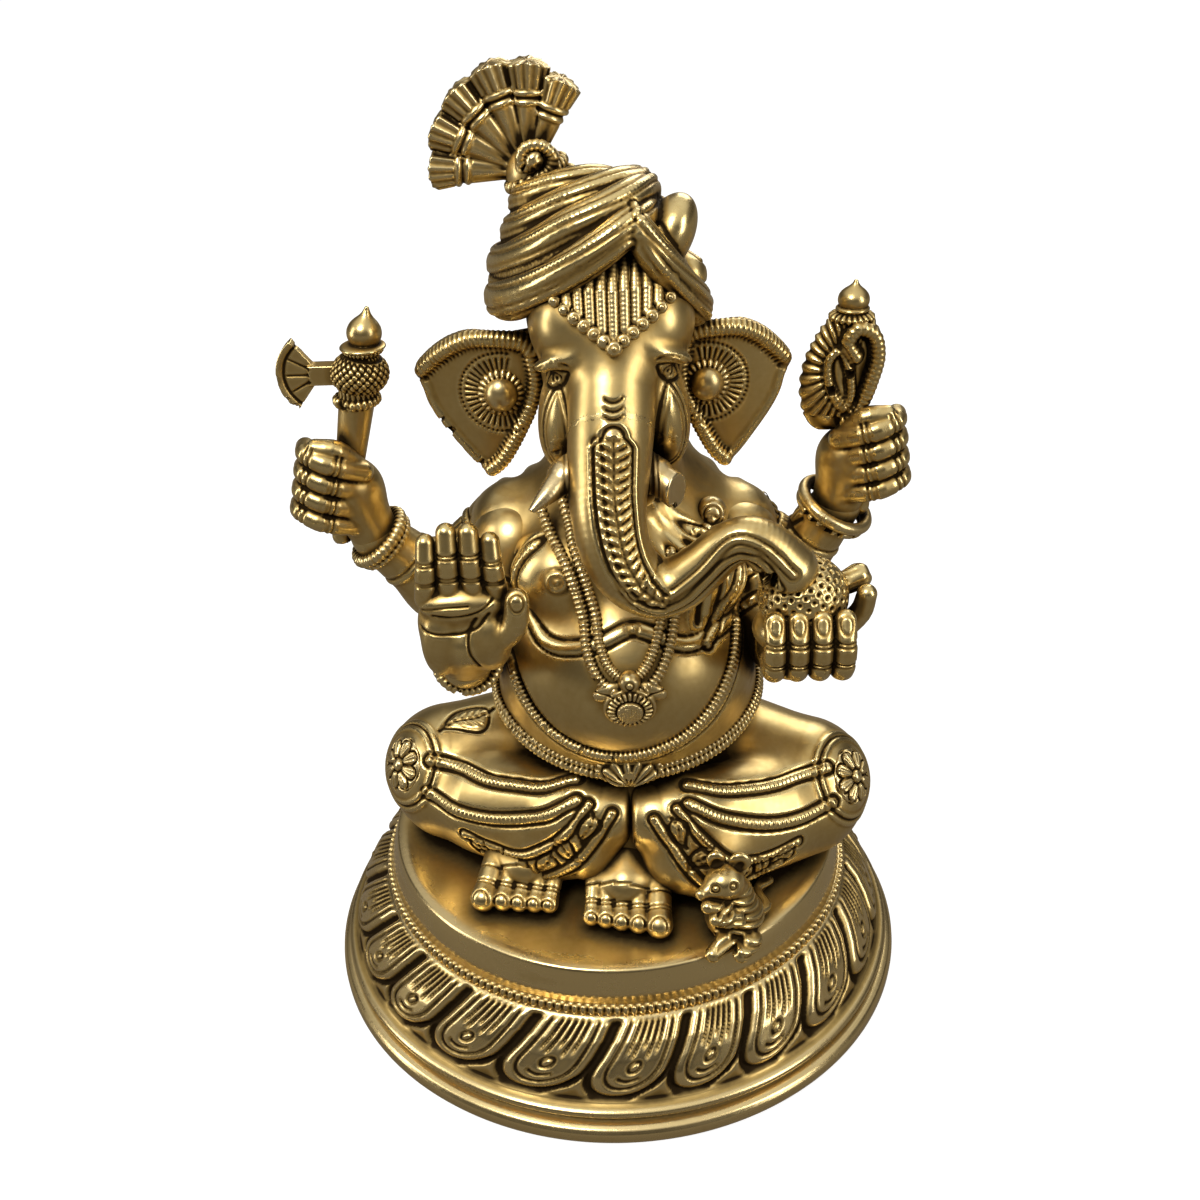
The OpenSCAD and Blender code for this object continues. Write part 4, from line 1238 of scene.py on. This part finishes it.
wrap([V(-4, 14, 229), V(-14, 12, 230), V(-20.5, 4, 232.5), V(-20, -6, 236.5), V(-12, -13, 241), V(-3, -12,
                                        242.5), V(3, -4, 240), V(3, 7, 236)],
     [6, 6, 6, 6, 5.8, 5.6, 5.6, 5.6])
wrap([V(9, -31, 238.5), V(10.5, -36.5, 236), V(16, -36, 227.5), V(22.5, -30, 217.5), V(27, -20, 209.5),
      V(28.5, -9, 204), V(27, 3, 202), V(22, 13, 203),
      V(12, 21, 205), V(-2, 24, 206), V(-14, 22, 206)], [4.0, 4.6, 5.4, 5.8, 6.0, 6.2, 6.4, 6.4, 6.4, 6.4,
                                        6.4])
wrap([V(27, 0, 211), V(21, 11, 212), V(11, 20, 213.5), V(-1, 23, 214), V(-10, 21, 214)], [6.4, 6.6, 6.6,
                                        6.6, 6.4])
fill_ = U(4, ell(V(0, -2, 219), (24, 24, 21)), ell(V(-8, 0, 232), (15, 15, 11)))
bulge = U(5, ell(V(19.5, -22, 229.5), (7.5, 11, 13.0), rotm(0, 28)), ell(V(15, -4, 227), (10, 15, 10)))
turban_f = U(0.7, fill_, *tub, bulge)
SEAMS = [onto(bulge, [V(13, -34, 236), V(19, -36, 229), V(25, -34, 219), V(28, -26, 213)], 6)]


def turban_relief(P, N):
    h = np.zeros(len(P))
    for q in trims:
        d, s = along(P, q, 3.5)
        h += ridge(d, 1.3, 0.4) * (0.75 + 0.25 * np.cos(TAU * s / 1.5)) + groove(d - 1.7, 0.4, 0.4)
    for k, q in enumerate(CRESS):
        d, s = along(P, q, 3)
        h += groove(d, 0.8, 0.5) * (0.6 + 0.4 * np.cos(s / 17 + k))
    for q in SEAMS:
        d, s = along(P, q, 4)
        h += ridge(d, 1.6, 0.6) * (0.6 + 0.4 * np.cos(TAU * s / 1.7)) + groove(d - 2.0, 0.4, 0.45)
    return h


piece("turban", turban_f, V(-44, -54, 188), V(46, 36, 254), 0.95, 1, turban_relief)

# ---- collar, plume and brooch
CB = V(-17.5, 4, 241)
col_n = np.array([-0.42, 0.0, 0.9])
col_n /= ln(col_n)


def disc(c, n, R1, r1):
    n = n / ln(n)
    a = np.cross(n, [0, 1.0, 0])
    a /= ln(a)
    b = np.cross(n, a)
    t = np.linspace(0, TAU, 16, endpoint=False)
    return tube(c + R1 * (np.cos(t)[:, None] * a + np.sin(t)[:, None] * b), r1, 4, True)


collar_f = U(0.5, cap(CB - col_n * 6, CB + col_n * 2, 9.5, 9.0), disc(CB - col_n * 3, col_n, 9.2, 2.2),
             disc(CB + col_n * 1.6, col_n, 8.6, 1.9))


def collar_relief(P, N):
    q = P - CB
    t = q @ col_n
    a = np.arctan2(q[:, 1], q[:, 0])
    return (np.abs(t + 3) < 2.6) * 0.35 * np.cos(a * 26) + (np.abs(t - 1.6) < 1.9) * 0.3 * np.cos(a * 24)


piece("turban_collar", collar_f, CB - 15, CB + [14, 14, 10], 0.6, 1, collar_relief)

PF = V(-20.5, 5, 243)
FAN = [(-86, 28), (-63, 29.5), (-41, 30.5), (-19, 31), (2, 30), (23, 27)]
pleats = []
for a, L in FAN:
    a = math.radians(a)
    pleats.append((np.array([math.sin(a), 0.0, math.cos(a)]), np.array([math.cos(a), 0.0, -math.sin(a)]),
                   L))


def pleat(d, sv, L):
    """A round pleat that widens outwards, flares at its lip and is a little hollow at its end."""
    def f(P):
        q = P - PF
        t, w = q @ d, q @ sv
        half = 1.9 + 0.145 * np.clip(t, 0, 40) + 0.10 * np.clip(t - (L - 8), 0, 9)
        rad = np.hypot(w, q[..., 1] * 1.1)
        return np.maximum(rad - half, np.maximum(t - (L + 1.5 - 0.05 * w * w), 1 - t)) * 0.85
    return f


plume_f = U(0.25, *[pleat(*p) for p in pleats])
plume_f = U(0.8, plume_f, ell(PF + [0, 0, 1], (8.5, 4.2, 6)))


def plume_relief(P, N):
    h = np.zeros(len(P))
    q = P - PF
    for d, sv, L in pleats:
        t, w = q @ d, q @ sv
        a = np.arctan2(q[:, 1], w)
        on = np.hypot(w, q[:, 1]) < 1.9 + 0.145 * t + 0.10 * np.clip(t - (L - 8), 0, 9) + 0.8
        h += on * (t > L - 6.0) * (t < L + 3) * 0.28 * np.cos(a * 13)
        h += on * (ridge(t - (L - 7.2), 0.8, 0.6) + ridge(t - (L - 10.0), 0.7,
                                        0.45) + groove(t - (L - 8.6), 0.4, 0.4))
        h += on * (t > 5) * (t < L - 11.5) * 0.14 * np.cos(a * 7)
    return h


piece("plume", plume_f, PF - [38, 10, 10], PF + [24, 10, 38], 0.6, 1, plume_relief)
BR = V(-18, -3, 243)
bcurl = smooth([BR + [x, -2 - 0.1 * z, z] for x, z in ((1, 0), (4.4, 2.5), (5.2, 6.5), (2.0, 9.5), (-2.5,
                                        9), (-4.2, 5.5), (-2.0, 3.2), (0.6, 4.6), (0.2, 6.6))], 6)
t16 = np.linspace(0, TAU, 13)[:-1]
eyelet = tube(BR + np.stack([2.6 * np.cos(t16) + 3, 0 * t16 - 6.0, 2.6 * np.sin(t16) - 5.0], 1), 1.3, 4,
              True)
piece("brooch", U(0.5, ell(BR + [0, 1, 3], (6.2, 3.0, 7.5)), path_tube(bcurl, 1.7), eyelet,
                  ell(BR + [-0.5, -3, 5.2], (2.4, 2.2, 2.6))),
      BR - 12, BR + [12, 8, 18], 0.55, 1, rope_relief(bcurl, 1.6, 0.1, 0, 3))

# ---- mouse
M0 = V(0, 0, 0)
mouse_f = U(2.5, ell(M0 + [1, 1, 6.5], (8.5, 8.5, 7.5)), ell(M0 + [0, 0, 13], (6.6, 6.4, 7.5)),
            ell(M0 + [-2.0, -2, 21.5], (5.4, 5.2, 4.8)),
            cap(M0 + [-4, -3, 21], M0 + [-9.0, -6, 20.4], 3.4, 1.7))
mouse_f = U(0.8, mouse_f, ell(M0 + [2.2, 0.5, 26.0], (3.2, 1.5, 3.2), rotm(0, 25)), ell(M0 + [-4.4, 1.5,
                                        26.2], (2.8, 1.5, 2.9), rotm(0, -20)),
            cap(M0 + [-2, -6, 14.5], M0 + [-7.5, -8.5, 18.0], 2.4, 1.9), cap(M0 + [1, -7, 11.5],
                                        M0 + [-5.5, -10, 14.5], 2.3, 1.8),
            cap(M0 + [-2, -7, 3.5], M0 + [-6, -10.5, 2], 3.2, 2.3), cap(M0 + [5, -7, 3.5], M0 + [2, -11,
                                        2], 3.2, 2.3),
            tube([M0 + [8, 4, 3], M0 + [11, 8, 2.4], M0 + [9, 14, 2.4], M0 + [13, 19, 2.4]], 1.6,
                 5), ell(M0 + [-9.6, -6.2, 20.8], (1.3, 1.3, 1.2)))
MS, MC = 1.2, V(38.5, -67.5, 0)
mouse_unit = mouse_f
mouse_f = both(0.3, lambda P: mouse_unit((P - MC) / MS + M0) * MS, above(DECK + 0.2))


def mouse_relief(P, N):
    q = (P - MC) / MS
    h = 0.35 * np.cos((q[:, 2] + 0.35 * np.abs(q[:, 0])) * TAU / 2.4) * (q[:, 2] < 18) * (q[:,
                                        2] > 2) * (q[:, 0] > -5)
    for s in ((-5.2, -6.6, 22.6), (-0.2, -6.2, 23.0)):
        d = ln(q - np.array(s))
        h += groove(d - 1.1, 0.35, 0.6)
    for s in ((2.2, -1.2, 26.0), (-4.4, -0.2, 26.2)):
        h += groove(ln(q - np.array(s)), 1.3, 0.8)
    return h


piece("mouse", mouse_f, MC - [18, 18, 1], MC + [22, 28, 38], 0.7, 1, mouse_relief)

# ---- knee flowers
for side, nm, f in ((-1, "left", leg_l), (1, "right", leg_r)):
    out = np.array([side * 0.72, -0.62, 0.55])
    eye = settle(f, (KNEE[side] + out * 20)[None], 8)[0][0]
    k = both(0.8, (lambda f: lambda P: f(P) - 0.7)(f), ball(eye, 10.2))
    piece("knee_flower_" + nm, k, eye - 13, eye + 13, 0.55, 1,
          (lambda eye, out: lambda P, N: flower(P, eye, out, np.array([0, 0, 1.0]), 9.5))(eye, out))


# ---- pedestal: turned profiles with chased petals
def resample(prof, h):
    p = np.asarray(prof, float)
    out = [p[:1]]
    for a, b in zip(p[:-1], p[1:]):
        n = max(1, int(math.ceil(np.hypot(*(b - a)) / h)))
        t = np.arange(1, n + 1)[:, None] / n
        out.append(a + (b - a) * t)
    return np.vstack(out)


def lathe(prof, n, relief=None, closed=True):
    """A turned ring; relief(angle, r, z, k) moves profile point k along the profile's normal."""
    p = np.asarray(prof, float)
    m = len(p)
    nx = np.roll(p, -1, 0) if closed else np.vstack([p[1:], p[-1:]])
    pv = np.roll(p, 1, 0) if closed else np.vstack([p[:1], p[:-1]])
    t = nx - pv
    t /= np.hypot(t[:, 0], t[:, 1])[:, None] + 1e-12
    nr, nz = t[:, 1], -t[:, 0]
    a = np.linspace(0, TAU, n, endpoint=False)
    A, K = np.meshgrid(a, np.arange(m), indexing='ij')
    r = p[K, 0]
    z = p[K, 1]
    h = relief(A, r, z) if relief else np.zeros_like(r)
    r2 = r + nr[K] * h
    z2 = z + nz[K] * h
    verts = np.stack([r2 * np.cos(A), r2 * np.sin(A), z2], -1).reshape(-1, 3)
    i = np.arange(n)[:, None] * m
    j = ((np.arange(n) + 1) % n)[:, None] * m
    k = np.arange(m if closed else m - 1)[None]
    k2 = (k + 1) % m
    q = np.stack([i + k, j + k, j + k2, i + k2], -1).reshape(-1, 4)
    return verts, q, h.reshape(-1)


PB_LO, PB_HI = corner("pedestal")
RING_LO, RING_HI = corner("knurled_ring")
DR_LO, DR_HI = corner("seat_drum")
PETALS = 22
RT = RING_HI[0] - 0.5
SK0, SK1 = 14.5, PB_HI[2] - 0.6


def rounded_u(x, y, half, bottom):
    """Signed distance to an upright slot, open at the top, round at the bottom."""
    yy = y - (bottom + half)
    return np.where(yy < 0, np.hypot(x, yy), np.abs(x)) - half


def petal_relief(A, r, z):
    t = (z - SK0) / (SK1 - SK0)
    on = (t > -0.02) & (t < 1.03) & (r > RT - 2)
    pitch = TAU / PETALS
    a = A - 0.17 * t + 0.02 * np.sin(A * 5) + 0.35
    k = np.floor(a / pitch)
    u = (a / pitch - k - 0.5) * pitch * r
    y = (z - SK0) * 1.16
    half = 0.5 * pitch * r - 1.15
    e = rounded_u(u, y, half, 0.6)
    d = groove(e - 0.7, 1.15, 2.6)
    d += step(-e, 0, 3.5) * 0.8 - 0.5
    d += groove(rounded_u(u, y, half - 4.2, 5.2), 0.62, 0.95) * (y > 4)
    # a round dot over a short curved cut
    d += ridge(np.hypot(u, y - 13.5), 1.5, 0.5) + groove(np.hypot(u, y - 13.5) - 2.0, 0.5, 0.8)
    d += groove(y - 8.3 - 0.09 * u * u, 0.65, 0.9) * (np.abs(u) < 4.0)
    # tapering cuts from the top
    for c, ln_, w in ((-0.62, 11, 0.55), (-0.32, 12.5, 0.7), (0.0, 9.5, 0.75), (0.32, 12.5, 0.7), (0.62,
                                        11, 0.55)):
        top = (SK1 - SK0) * 1.16
        x = u - c * (half - 4.2) * (1 - 0.1 * t)
        along_ = np.clip((y - (top - ln_)) / ln_, 0, 1)
        d += groove(x, w * (0.4 + 0.8 * along_), 1.2) * step(y, top - ln_, top - ln_ + 3) * (e < -2.5)
    rim = step(t, 0.95, 1.0)
    return np.where(on, d * (1 - rim), 0)


def ped_profile():
    s = R / 110.0
    outer = [(R - 12, 0), (R - 2.2, 0), (R - 0.9, 0.5), (R - 0.1, 1.8), (R, 3.4), (R - 0.2, 5.0),
             (R - 1.2, 6.4), (R - 2.6, 7.0), (R - 4.6, 7.3),
             (R - 5.4, 7.9), (R - 5.5, 8.6), (R - 4.9, 9.2), (R - 3.6, 9.6), (R - 3.0, 10.6), (R - 3.2,
                                        11.8), (R - 4.2, 12.5),
             (R - 5.6, 12.9), (R - 6.6, 13.5), (R - 6.9, 14.5), (R - 7.4, 18), (R - 9.0, 23), (R - 11.6,
                                        28), (R - 15.0, 33), (R - 19.0, 37),
             (RT + 0.6, PB_HI[2] - 0.4), (RT - 1, PB_HI[2])]
    p = resample(outer, 0.62)
    inner = [(RT - 5.4, PB_HI[2]), (RT - 5.4, PB_HI[2] - 3), (RT - 12, PB_HI[2] - 3), (RT - 12,
                                        PB_HI[2] - 7), (RT - 1, PB_HI[2] - 8),
             (R - 15, 21), (R - 11, 13), (R - 12, 8)]
    return np.vstack([p, inner])


def ring_relief(A, r, z):
    m = r > RT - 0.6
    return m * (0.5 * np.sign(np.cos(A * 190)) * np.abs(np.cos(A * 190)) ** 0.5)


DRUM_TOP = DR_HI[2]
DF = RT - 1.0
LATHES = {}


def turned(node, prof, n, relief, slot="pedestal_brass", local_relief=None):
    LATHES[node] = (prof, n, relief, slot)


turned("pedestal", ped_profile(), 1000, petal_relief)
r0, r1 = RING_LO[2], RING_HI[2]
turned("knurled_ring", resample([(RT - 4, r0), (RT - 1.2, r0), (RT + 0.1, r0 + 0.5), (RT + 0.45,
                                        r0 + 1.4), (RT + 0.45, r1 - 1.3), (RT + 0.1, r1 - 0.4),
                                (RT - 1.2, r1), (RT - 4,
                                        r1)], 0.6), 1520, ring_relief)
turned("seat_drum", resample([(DF - 8, DR_LO[2]), (DF - 5, DR_LO[2]), (DF - 3, r0), (DF - 3, r1),
                              (DF - 0.3, r1 + 0.1), (DF - 1.0, r1 + 4),
                              (DF - 2.3, r1 + 9), (DF - 3.0, DRUM_TOP - 1.2), (DF - 3.3,
                                        DRUM_TOP - 0.5), (DF - 4.0, DRUM_TOP),
                              (DF - 30, DRUM_TOP - 0.05), (0.01, DRUM_TOP - 0.05), (0.01,
                                        DRUM_TOP - 4), (DF - 8, DRUM_TOP - 4)], 4), 240,
       lambda A, r, z: 0.12 * np.sin(A * 7 + z) * (z > r1) * (z < DRUM_TOP - 1.5))

# ---- closeness field for the painted shade in recesses and between pieces
G_LO = np.array([-R - 6, -R - 6, -4.0])
G_H = 2.5
G_HI = np.array([R + 6, R + 6, max(v["hi"][2] for v in PIECES.values()) + 6])
gn_ = np.ceil((G_HI - G_LO) / G_H).astype(int) + 1
GRID = np.full(tuple(gn_), 30.0)


def stamp(f, lo, hi):
    a = np.clip(((lo - 12 - G_LO) / G_H).astype(int), 0, gn_ - 1)
    b = np.clip(((hi + 12 - G_LO) / G_H).astype(int) + 2, 1, gn_)
    ax = [G_LO[i] + G_H * np.arange(a[i], b[i]) for i in range(3)]
    P = np.stack(np.meshgrid(*ax, indexing='ij'), -1)
    d = f(P.reshape(-1, 3)).reshape(P.shape[:3])
    sl = tuple(slice(a[i], b[i]) for i in range(3))
    GRID[sl] = np.minimum(GRID[sl], d)


for v in PIECES.values():
    stamp(v["f"], v["lo"], v["hi"])
stamp(lambda P: np.maximum(np.hypot(P[:, 0], P[:, 1]) - DF + 3, P[:, 2] - DRUM_TOP), np.array([-R, -R,
                                        0.0]), np.array([R, R, DECK]))


def sample(P):
    q = np.clip((P - G_LO) / G_H, 0, gn_ - 1.001)
    i = q.astype(int)
    t = q - i
    out = 0
    for c in CORN:
        w = np.prod(np.where(c, t, 1 - t), 1)
        j = i + c
        out = out + w * GRID[j[:, 0], j[:, 1], j[:, 2]]
    return out


def recess(P, N):
    """How enclosed each point is, 0 open to 1 buried."""
    o = 0
    for d, w in ((2.5, 0.3), (5, 0.35), (9, 0.35)):
        o = o + w * np.clip(sample(P + N * d) / d, 0, 1)
    return 1 - o


# ---- materials
def brass(name, high, mid, low, rough):
    m = bpy.data.materials.new(name)
    m.use_nodes = True
    nt = m.node_tree
    b = nt.nodes["Principled BSDF"]
    b.inputs["Metallic"].default_value = 1.0
    # the per-point level of patina, wear and painted shade from the mesh drives the ramp's darkening
    at = nt.nodes.new("ShaderNodeAttribute")
    at.attribute_name = "wear_patina_and_shade"
    sep = nt.nodes.new("ShaderNodeSeparateColor")
    nt.links.new(at.outputs["Color"], sep.inputs["Color"])
    tc = nt.nodes.new("ShaderNodeTexCoord")
    n1 = nt.nodes.new("ShaderNodeTexNoise")
    n1.inputs["Scale"].default_value = 45.0
    n1.inputs["Detail"].default_value = 5.0
    n2 = nt.nodes.new("ShaderNodeTexNoise")
    n2.inputs["Scale"].default_value = 420.0
    n2.inputs["Detail"].default_value = 3.0
    for n in (n1, n2):
        nt.links.new(tc.outputs["Object"], n.inputs["Vector"])

    def math_(op, a, b_, c=None):
        x = nt.nodes.new("ShaderNodeMath")
        x.operation = op
        for k, val in enumerate((a, b_, c)):
            if val is None:
                continue
            if isinstance(val, (int, float)):
                x.inputs[k].default_value = val
            else:
                nt.links.new(val, x.inputs[k])
        return x.outputs[0]
    dark = math_('MULTIPLY_ADD', n1.outputs[0], 0.30, sep.outputs[0])
    dark = math_('MULTIPLY_ADD', n2.outputs[0], 0.18, dark)
    dark = math_('SUBTRACT', dark, 0.25)
    ramp = nt.nodes.new("ShaderNodeValToRGB")
    e = ramp.color_ramp.elements
    e[0].position, e[0].color = 0.0, (*high, 1)
    e[1].position, e[1].color = 1.0, (*low, 1)
    x = e.new(0.42)
    x.color = (*mid, 1)
    x = e.new(0.78)
    x.color = tuple(0.35 * c + 0.65 * d for c, d in zip(mid, low)) + (1,)
    nt.links.new(dark, ramp.inputs[0])
    nt.links.new(ramp.outputs[0], b.inputs["Base Color"])
    rg = math_('MULTIPLY_ADD', dark, 0.42, rough)
    rg = math_('MULTIPLY_ADD', n1.outputs[0], 0.10, rg)
    nt.links.new(rg, b.inputs["Roughness"])
    bump = nt.nodes.new("ShaderNodeBump")
    bump.inputs["Strength"].default_value = 0.10
    bump.inputs["Distance"].default_value = 0.0004
    nt.links.new(n2.outputs[0], bump.inputs["Height"])
    nt.links.new(bump.outputs[0], b.inputs["Normal"])
    return m


MATS = {"figure_brass": brass("figure_brass", (0.80, 0.62, 0.28), (0.50, 0.33, 0.105), (0.040, 0.024,
                                        0.009), 0.20),
        "ornament_brass": brass("ornament_brass", (0.84, 0.67, 0.34), (0.54, 0.37, 0.13), (0.036, 0.022,
                                        0.009), 0.22),
        "pedestal_brass": brass("pedestal_brass", (0.80, 0.62, 0.30), (0.52, 0.36, 0.125), (0.045, 0.028,
                                        0.012), 0.22),
        "tusk_brass": brass("tusk_brass", (0.88, 0.71, 0.40), (0.58, 0.41, 0.17), (0.07, 0.045, 0.02),
                            0.18)}
ORNAMENT = ("belt", "belt_buckle", "sacred_thread", "necklace", "pendant", "shoulder_boss", "bangle_palm",
            "bracelet_axe", "bracelet_noose",
            "knee_flower_left", "knee_flower_right", "turban_collar", "brooch", "forehead_fringe", "plume",
            "ear_boss_left", "ear_boss_right")


def make(node, v, q, wear_patina_and_shade, slot):
    me = bpy.data.meshes.new(node)
    n, m = len(v), len(q)
    me.vertices.add(n)
    me.vertices.foreach_set("co", (v / MM).astype(np.float32).ravel())
    me.loops.add(4 * m)
    me.loops.foreach_set("vertex_index", q.astype(np.int32).ravel())
    me.polygons.add(m)
    me.polygons.foreach_set("loop_start", np.arange(0, 4 * m, 4, dtype=np.int32))
    me.polygons.foreach_set("loop_total", np.full(m, 4, np.int32))
    me.update(calc_edges=True)
    me.validate()
    me.polygons.foreach_set("use_smooth", np.ones(m, bool))
    # per-point level of patina, wear and painted shade, stored as a colour
    ca = me.color_attributes.new("wear_patina_and_shade", 'FLOAT_COLOR', 'POINT')
    col = np.ones((n, 4), np.float32)
    col[:, 0] = wear_patina_and_shade
    col[:, 1] = wear_patina_and_shade
    col[:, 2] = wear_patina_and_shade
    ca.data.foreach_set("color", col.ravel())
    me.materials.append(MATS[slot])
    o = bpy.data.objects.new(node + "_cast", me)
    bpy.context.scene.collection.objects.link(o)
    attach(o, "root")
    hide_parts(node)
    return o


def wear_patina_and_shade_of(v, q, h, N):
    """Patina from the relief's own hollows and from local curvature, wear on raised and convex parts, and
    painted shade from nearby pieces that enclose a point.
    """
    lap = smooth_field(v, q, 1) - v
    c1 = (lap * N).sum(1)
    lap = smooth_field(v, q, 6) - v
    c2 = (lap * N).sum(1)
    edge = 0.5
    w = 7.0 * np.clip(c1, -0.05, 0.12) + 1.8 * np.clip(c2, -0.15, 0.5)
    w = w + 0.7 * np.clip(-h, 0, 1.2) - 0.25 * np.clip(h, 0, 1)
    # painted shade: points enclosed by nearby surfaces are darkened, as ambient occlusion from the closeness
    # field
    w = w + 1.15 * np.clip(recess(v, N) - 0.18, 0, 1)
    return np.clip(smooth_field(w, q, 1) + 0.27, 0, 1.3)


T0 = time.time()
for node, p in PIECES.items():
    t1 = time.time()
    h = p["h"] * 1.0
    D = field(p["f"], p["lo"], p["hi"], h)
    v, q = nets(D, p["lo"], h)
    v, N = settle(p["f"], v, 2)
    if p["sub"]:
        v, q = subdivide(v, q)
        v, N = settle(p["f"], v, 1)
    hh = np.zeros(len(v))
    if p["orn"]:
        hh = p["orn"](v, N)
        hh = smooth_field(hh, q, 1) * 0.6 + hh * 0.4
    v2 = v + N * hh[:, None]
    N2 = vert_normals(v2, q)
    slot = "ornament_brass" if node in ORNAMENT else "figure_brass"
    if node.startswith("tusk"):
        slot = "tusk_brass"
    # colour level per point: patina, wear and painted shade
    make(node, v2, q, wear_patina_and_shade_of(v2, q, hh, N2), slot)
    print("piece %-18s %7d faces %5.1f s  box %s %s" % (node, len(q), time.time() - t1,
                                        v2.min(0).round(1), v2.max(0).round(1)))
for node, (prof, n, rel, slot) in LATHES.items():
    v, q, hh = lathe(prof, n, rel)
    N2 = vert_normals(v, q)
    if (N2 * (v * [1, 1, 0] + [0, 0, 0.0])).sum() < 0:
        q = q[:, ::-1]
        N2 = -N2
    # colour level per point: patina, wear and painted shade
    make(node, v, q, wear_patina_and_shade_of(v, q, hh, N2), slot)
    print("turned", node, len(q))
print("modelled in %.0f s" % (time.time() - T0))

# ---- camera, lights and stage
scene = bpy.context.scene
cam = bpy.data.cameras.new("camera")
cam.lens, cam.sensor_width, cam.sensor_fit = 40.73, 36.0, 'AUTO'
co = bpy.data.objects.new("camera", cam)
scene.collection.objects.link(co)
look = Matrix.Rotation(math.radians(90 - 30.395), 4, 'X') @ Matrix.Rotation(math.radians(-1.78), 4, 'Z')
co.matrix_world = Matrix.Translation((-0.00297, -0.41368, 0.39333)) @ look
scene.camera = co
cam.clip_start = 0.01


def area(name, loc, target, size, power, color=(1, 1, 1), size_y=None):
    l = bpy.data.lights.new(name, 'AREA')
    l.energy = power
    l.color = color
    l.size = size
    if size_y:
        l.shape = 'RECTANGLE'
        l.size_y = size_y
    o = bpy.data.objects.new(name, l)
    o.location = loc
    d = Matrix.Identity(3)
    v = Vector(target) - Vector(loc)
    o.rotation_euler = v.to_track_quat('-Z', 'Y').to_euler()
    scene.collection.objects.link(o)
    return o


area("key", (-0.35, -0.55, 1.00), (0, 0, 0.15), 0.34, 6.0, (1.0, 0.99, 0.96))
area("fill", (0.80, -0.55, 0.55), (0, 0, 0.15), 0.30, 3.6, (1.0, 0.98, 0.94), 0.7)
area("side", (-0.95, -0.15, 0.45), (0, 0, 0.15), 0.25, 2.6, (1.0, 0.98, 0.94), 0.8)
area("back", (0.3, 0.9, 0.8), (0, 0, 0.2), 0.6, 3)

w = bpy.data.worlds.new("studio")
scene.world = w
w.use_nodes = True
nt = w.node_tree
bg = nt.nodes["Background"]
bg.inputs[1].default_value = 1.0
lp = nt.nodes.new("ShaderNodeLightPath")
mixc = nt.nodes.new("ShaderNodeMix")
mixc.data_type = 'RGBA'
tc = nt.nodes.new("ShaderNodeTexCoord")
sp = nt.nodes.new("ShaderNodeSeparateXYZ")
nt.links.new(tc.outputs["Generated"], sp.inputs[0])
rp = nt.nodes.new("ShaderNodeValToRGB")
el = rp.color_ramp.elements
el[0].position, el[0].color = 0.0, (0.16, 0.14, 0.12, 1)
el[1].position, el[1].color = 1.0, (0.85, 0.85, 0.84, 1)
x = el.new(0.46)
x.color = (0.22, 0.20, 0.17, 1)
x = el.new(0.56)
x.color = (0.05, 0.045, 0.04, 1)
x = el.new(0.74)
x.color = (0.10, 0.09, 0.08, 1)
x = el.new(0.86)
x.color = (0.62, 0.61, 0.59, 1)
ma = nt.nodes.new("ShaderNodeMath")
ma.operation = 'MULTIPLY_ADD'
ma.inputs[1].default_value = 0.5
ma.inputs[2].default_value = 0.5
nt.links.new(sp.outputs[2], ma.inputs[0])
nt.links.new(ma.outputs[0], rp.inputs[0])
nt.links.new(lp.outputs["Is Camera Ray"], mixc.inputs["Factor"])
nt.links.new(rp.outputs[0], mixc.inputs["A"])
mixc.inputs["B"].default_value = (1, 1, 1, 1)
nt.links.new(mixc.outputs["Result"], bg.inputs[0])

fm = bpy.data.materials.new("floor")
fm.use_nodes = True
fb = fm.node_tree.nodes["Principled BSDF"]
fb.inputs["Base Color"].default_value = (0.35, 0.35, 0.35, 1)
fb.inputs["Roughness"].default_value = 1.0
fb.inputs["Specular IOR Level"].default_value = 0.0
fb.inputs["Emission Color"].default_value = (1, 1, 1, 1)
fb.inputs["Emission Strength"].default_value = 0.86
bpy.ops.mesh.primitive_plane_add(size=6, location=(0, 1.2, -0.0002))
fl = bpy.context.object
fl.name = "floor"
fl.data.materials.append(fm)
fl.visible_glossy = False
fl.visible_diffuse = False
scene.view_settings.view_transform = 'Standard'
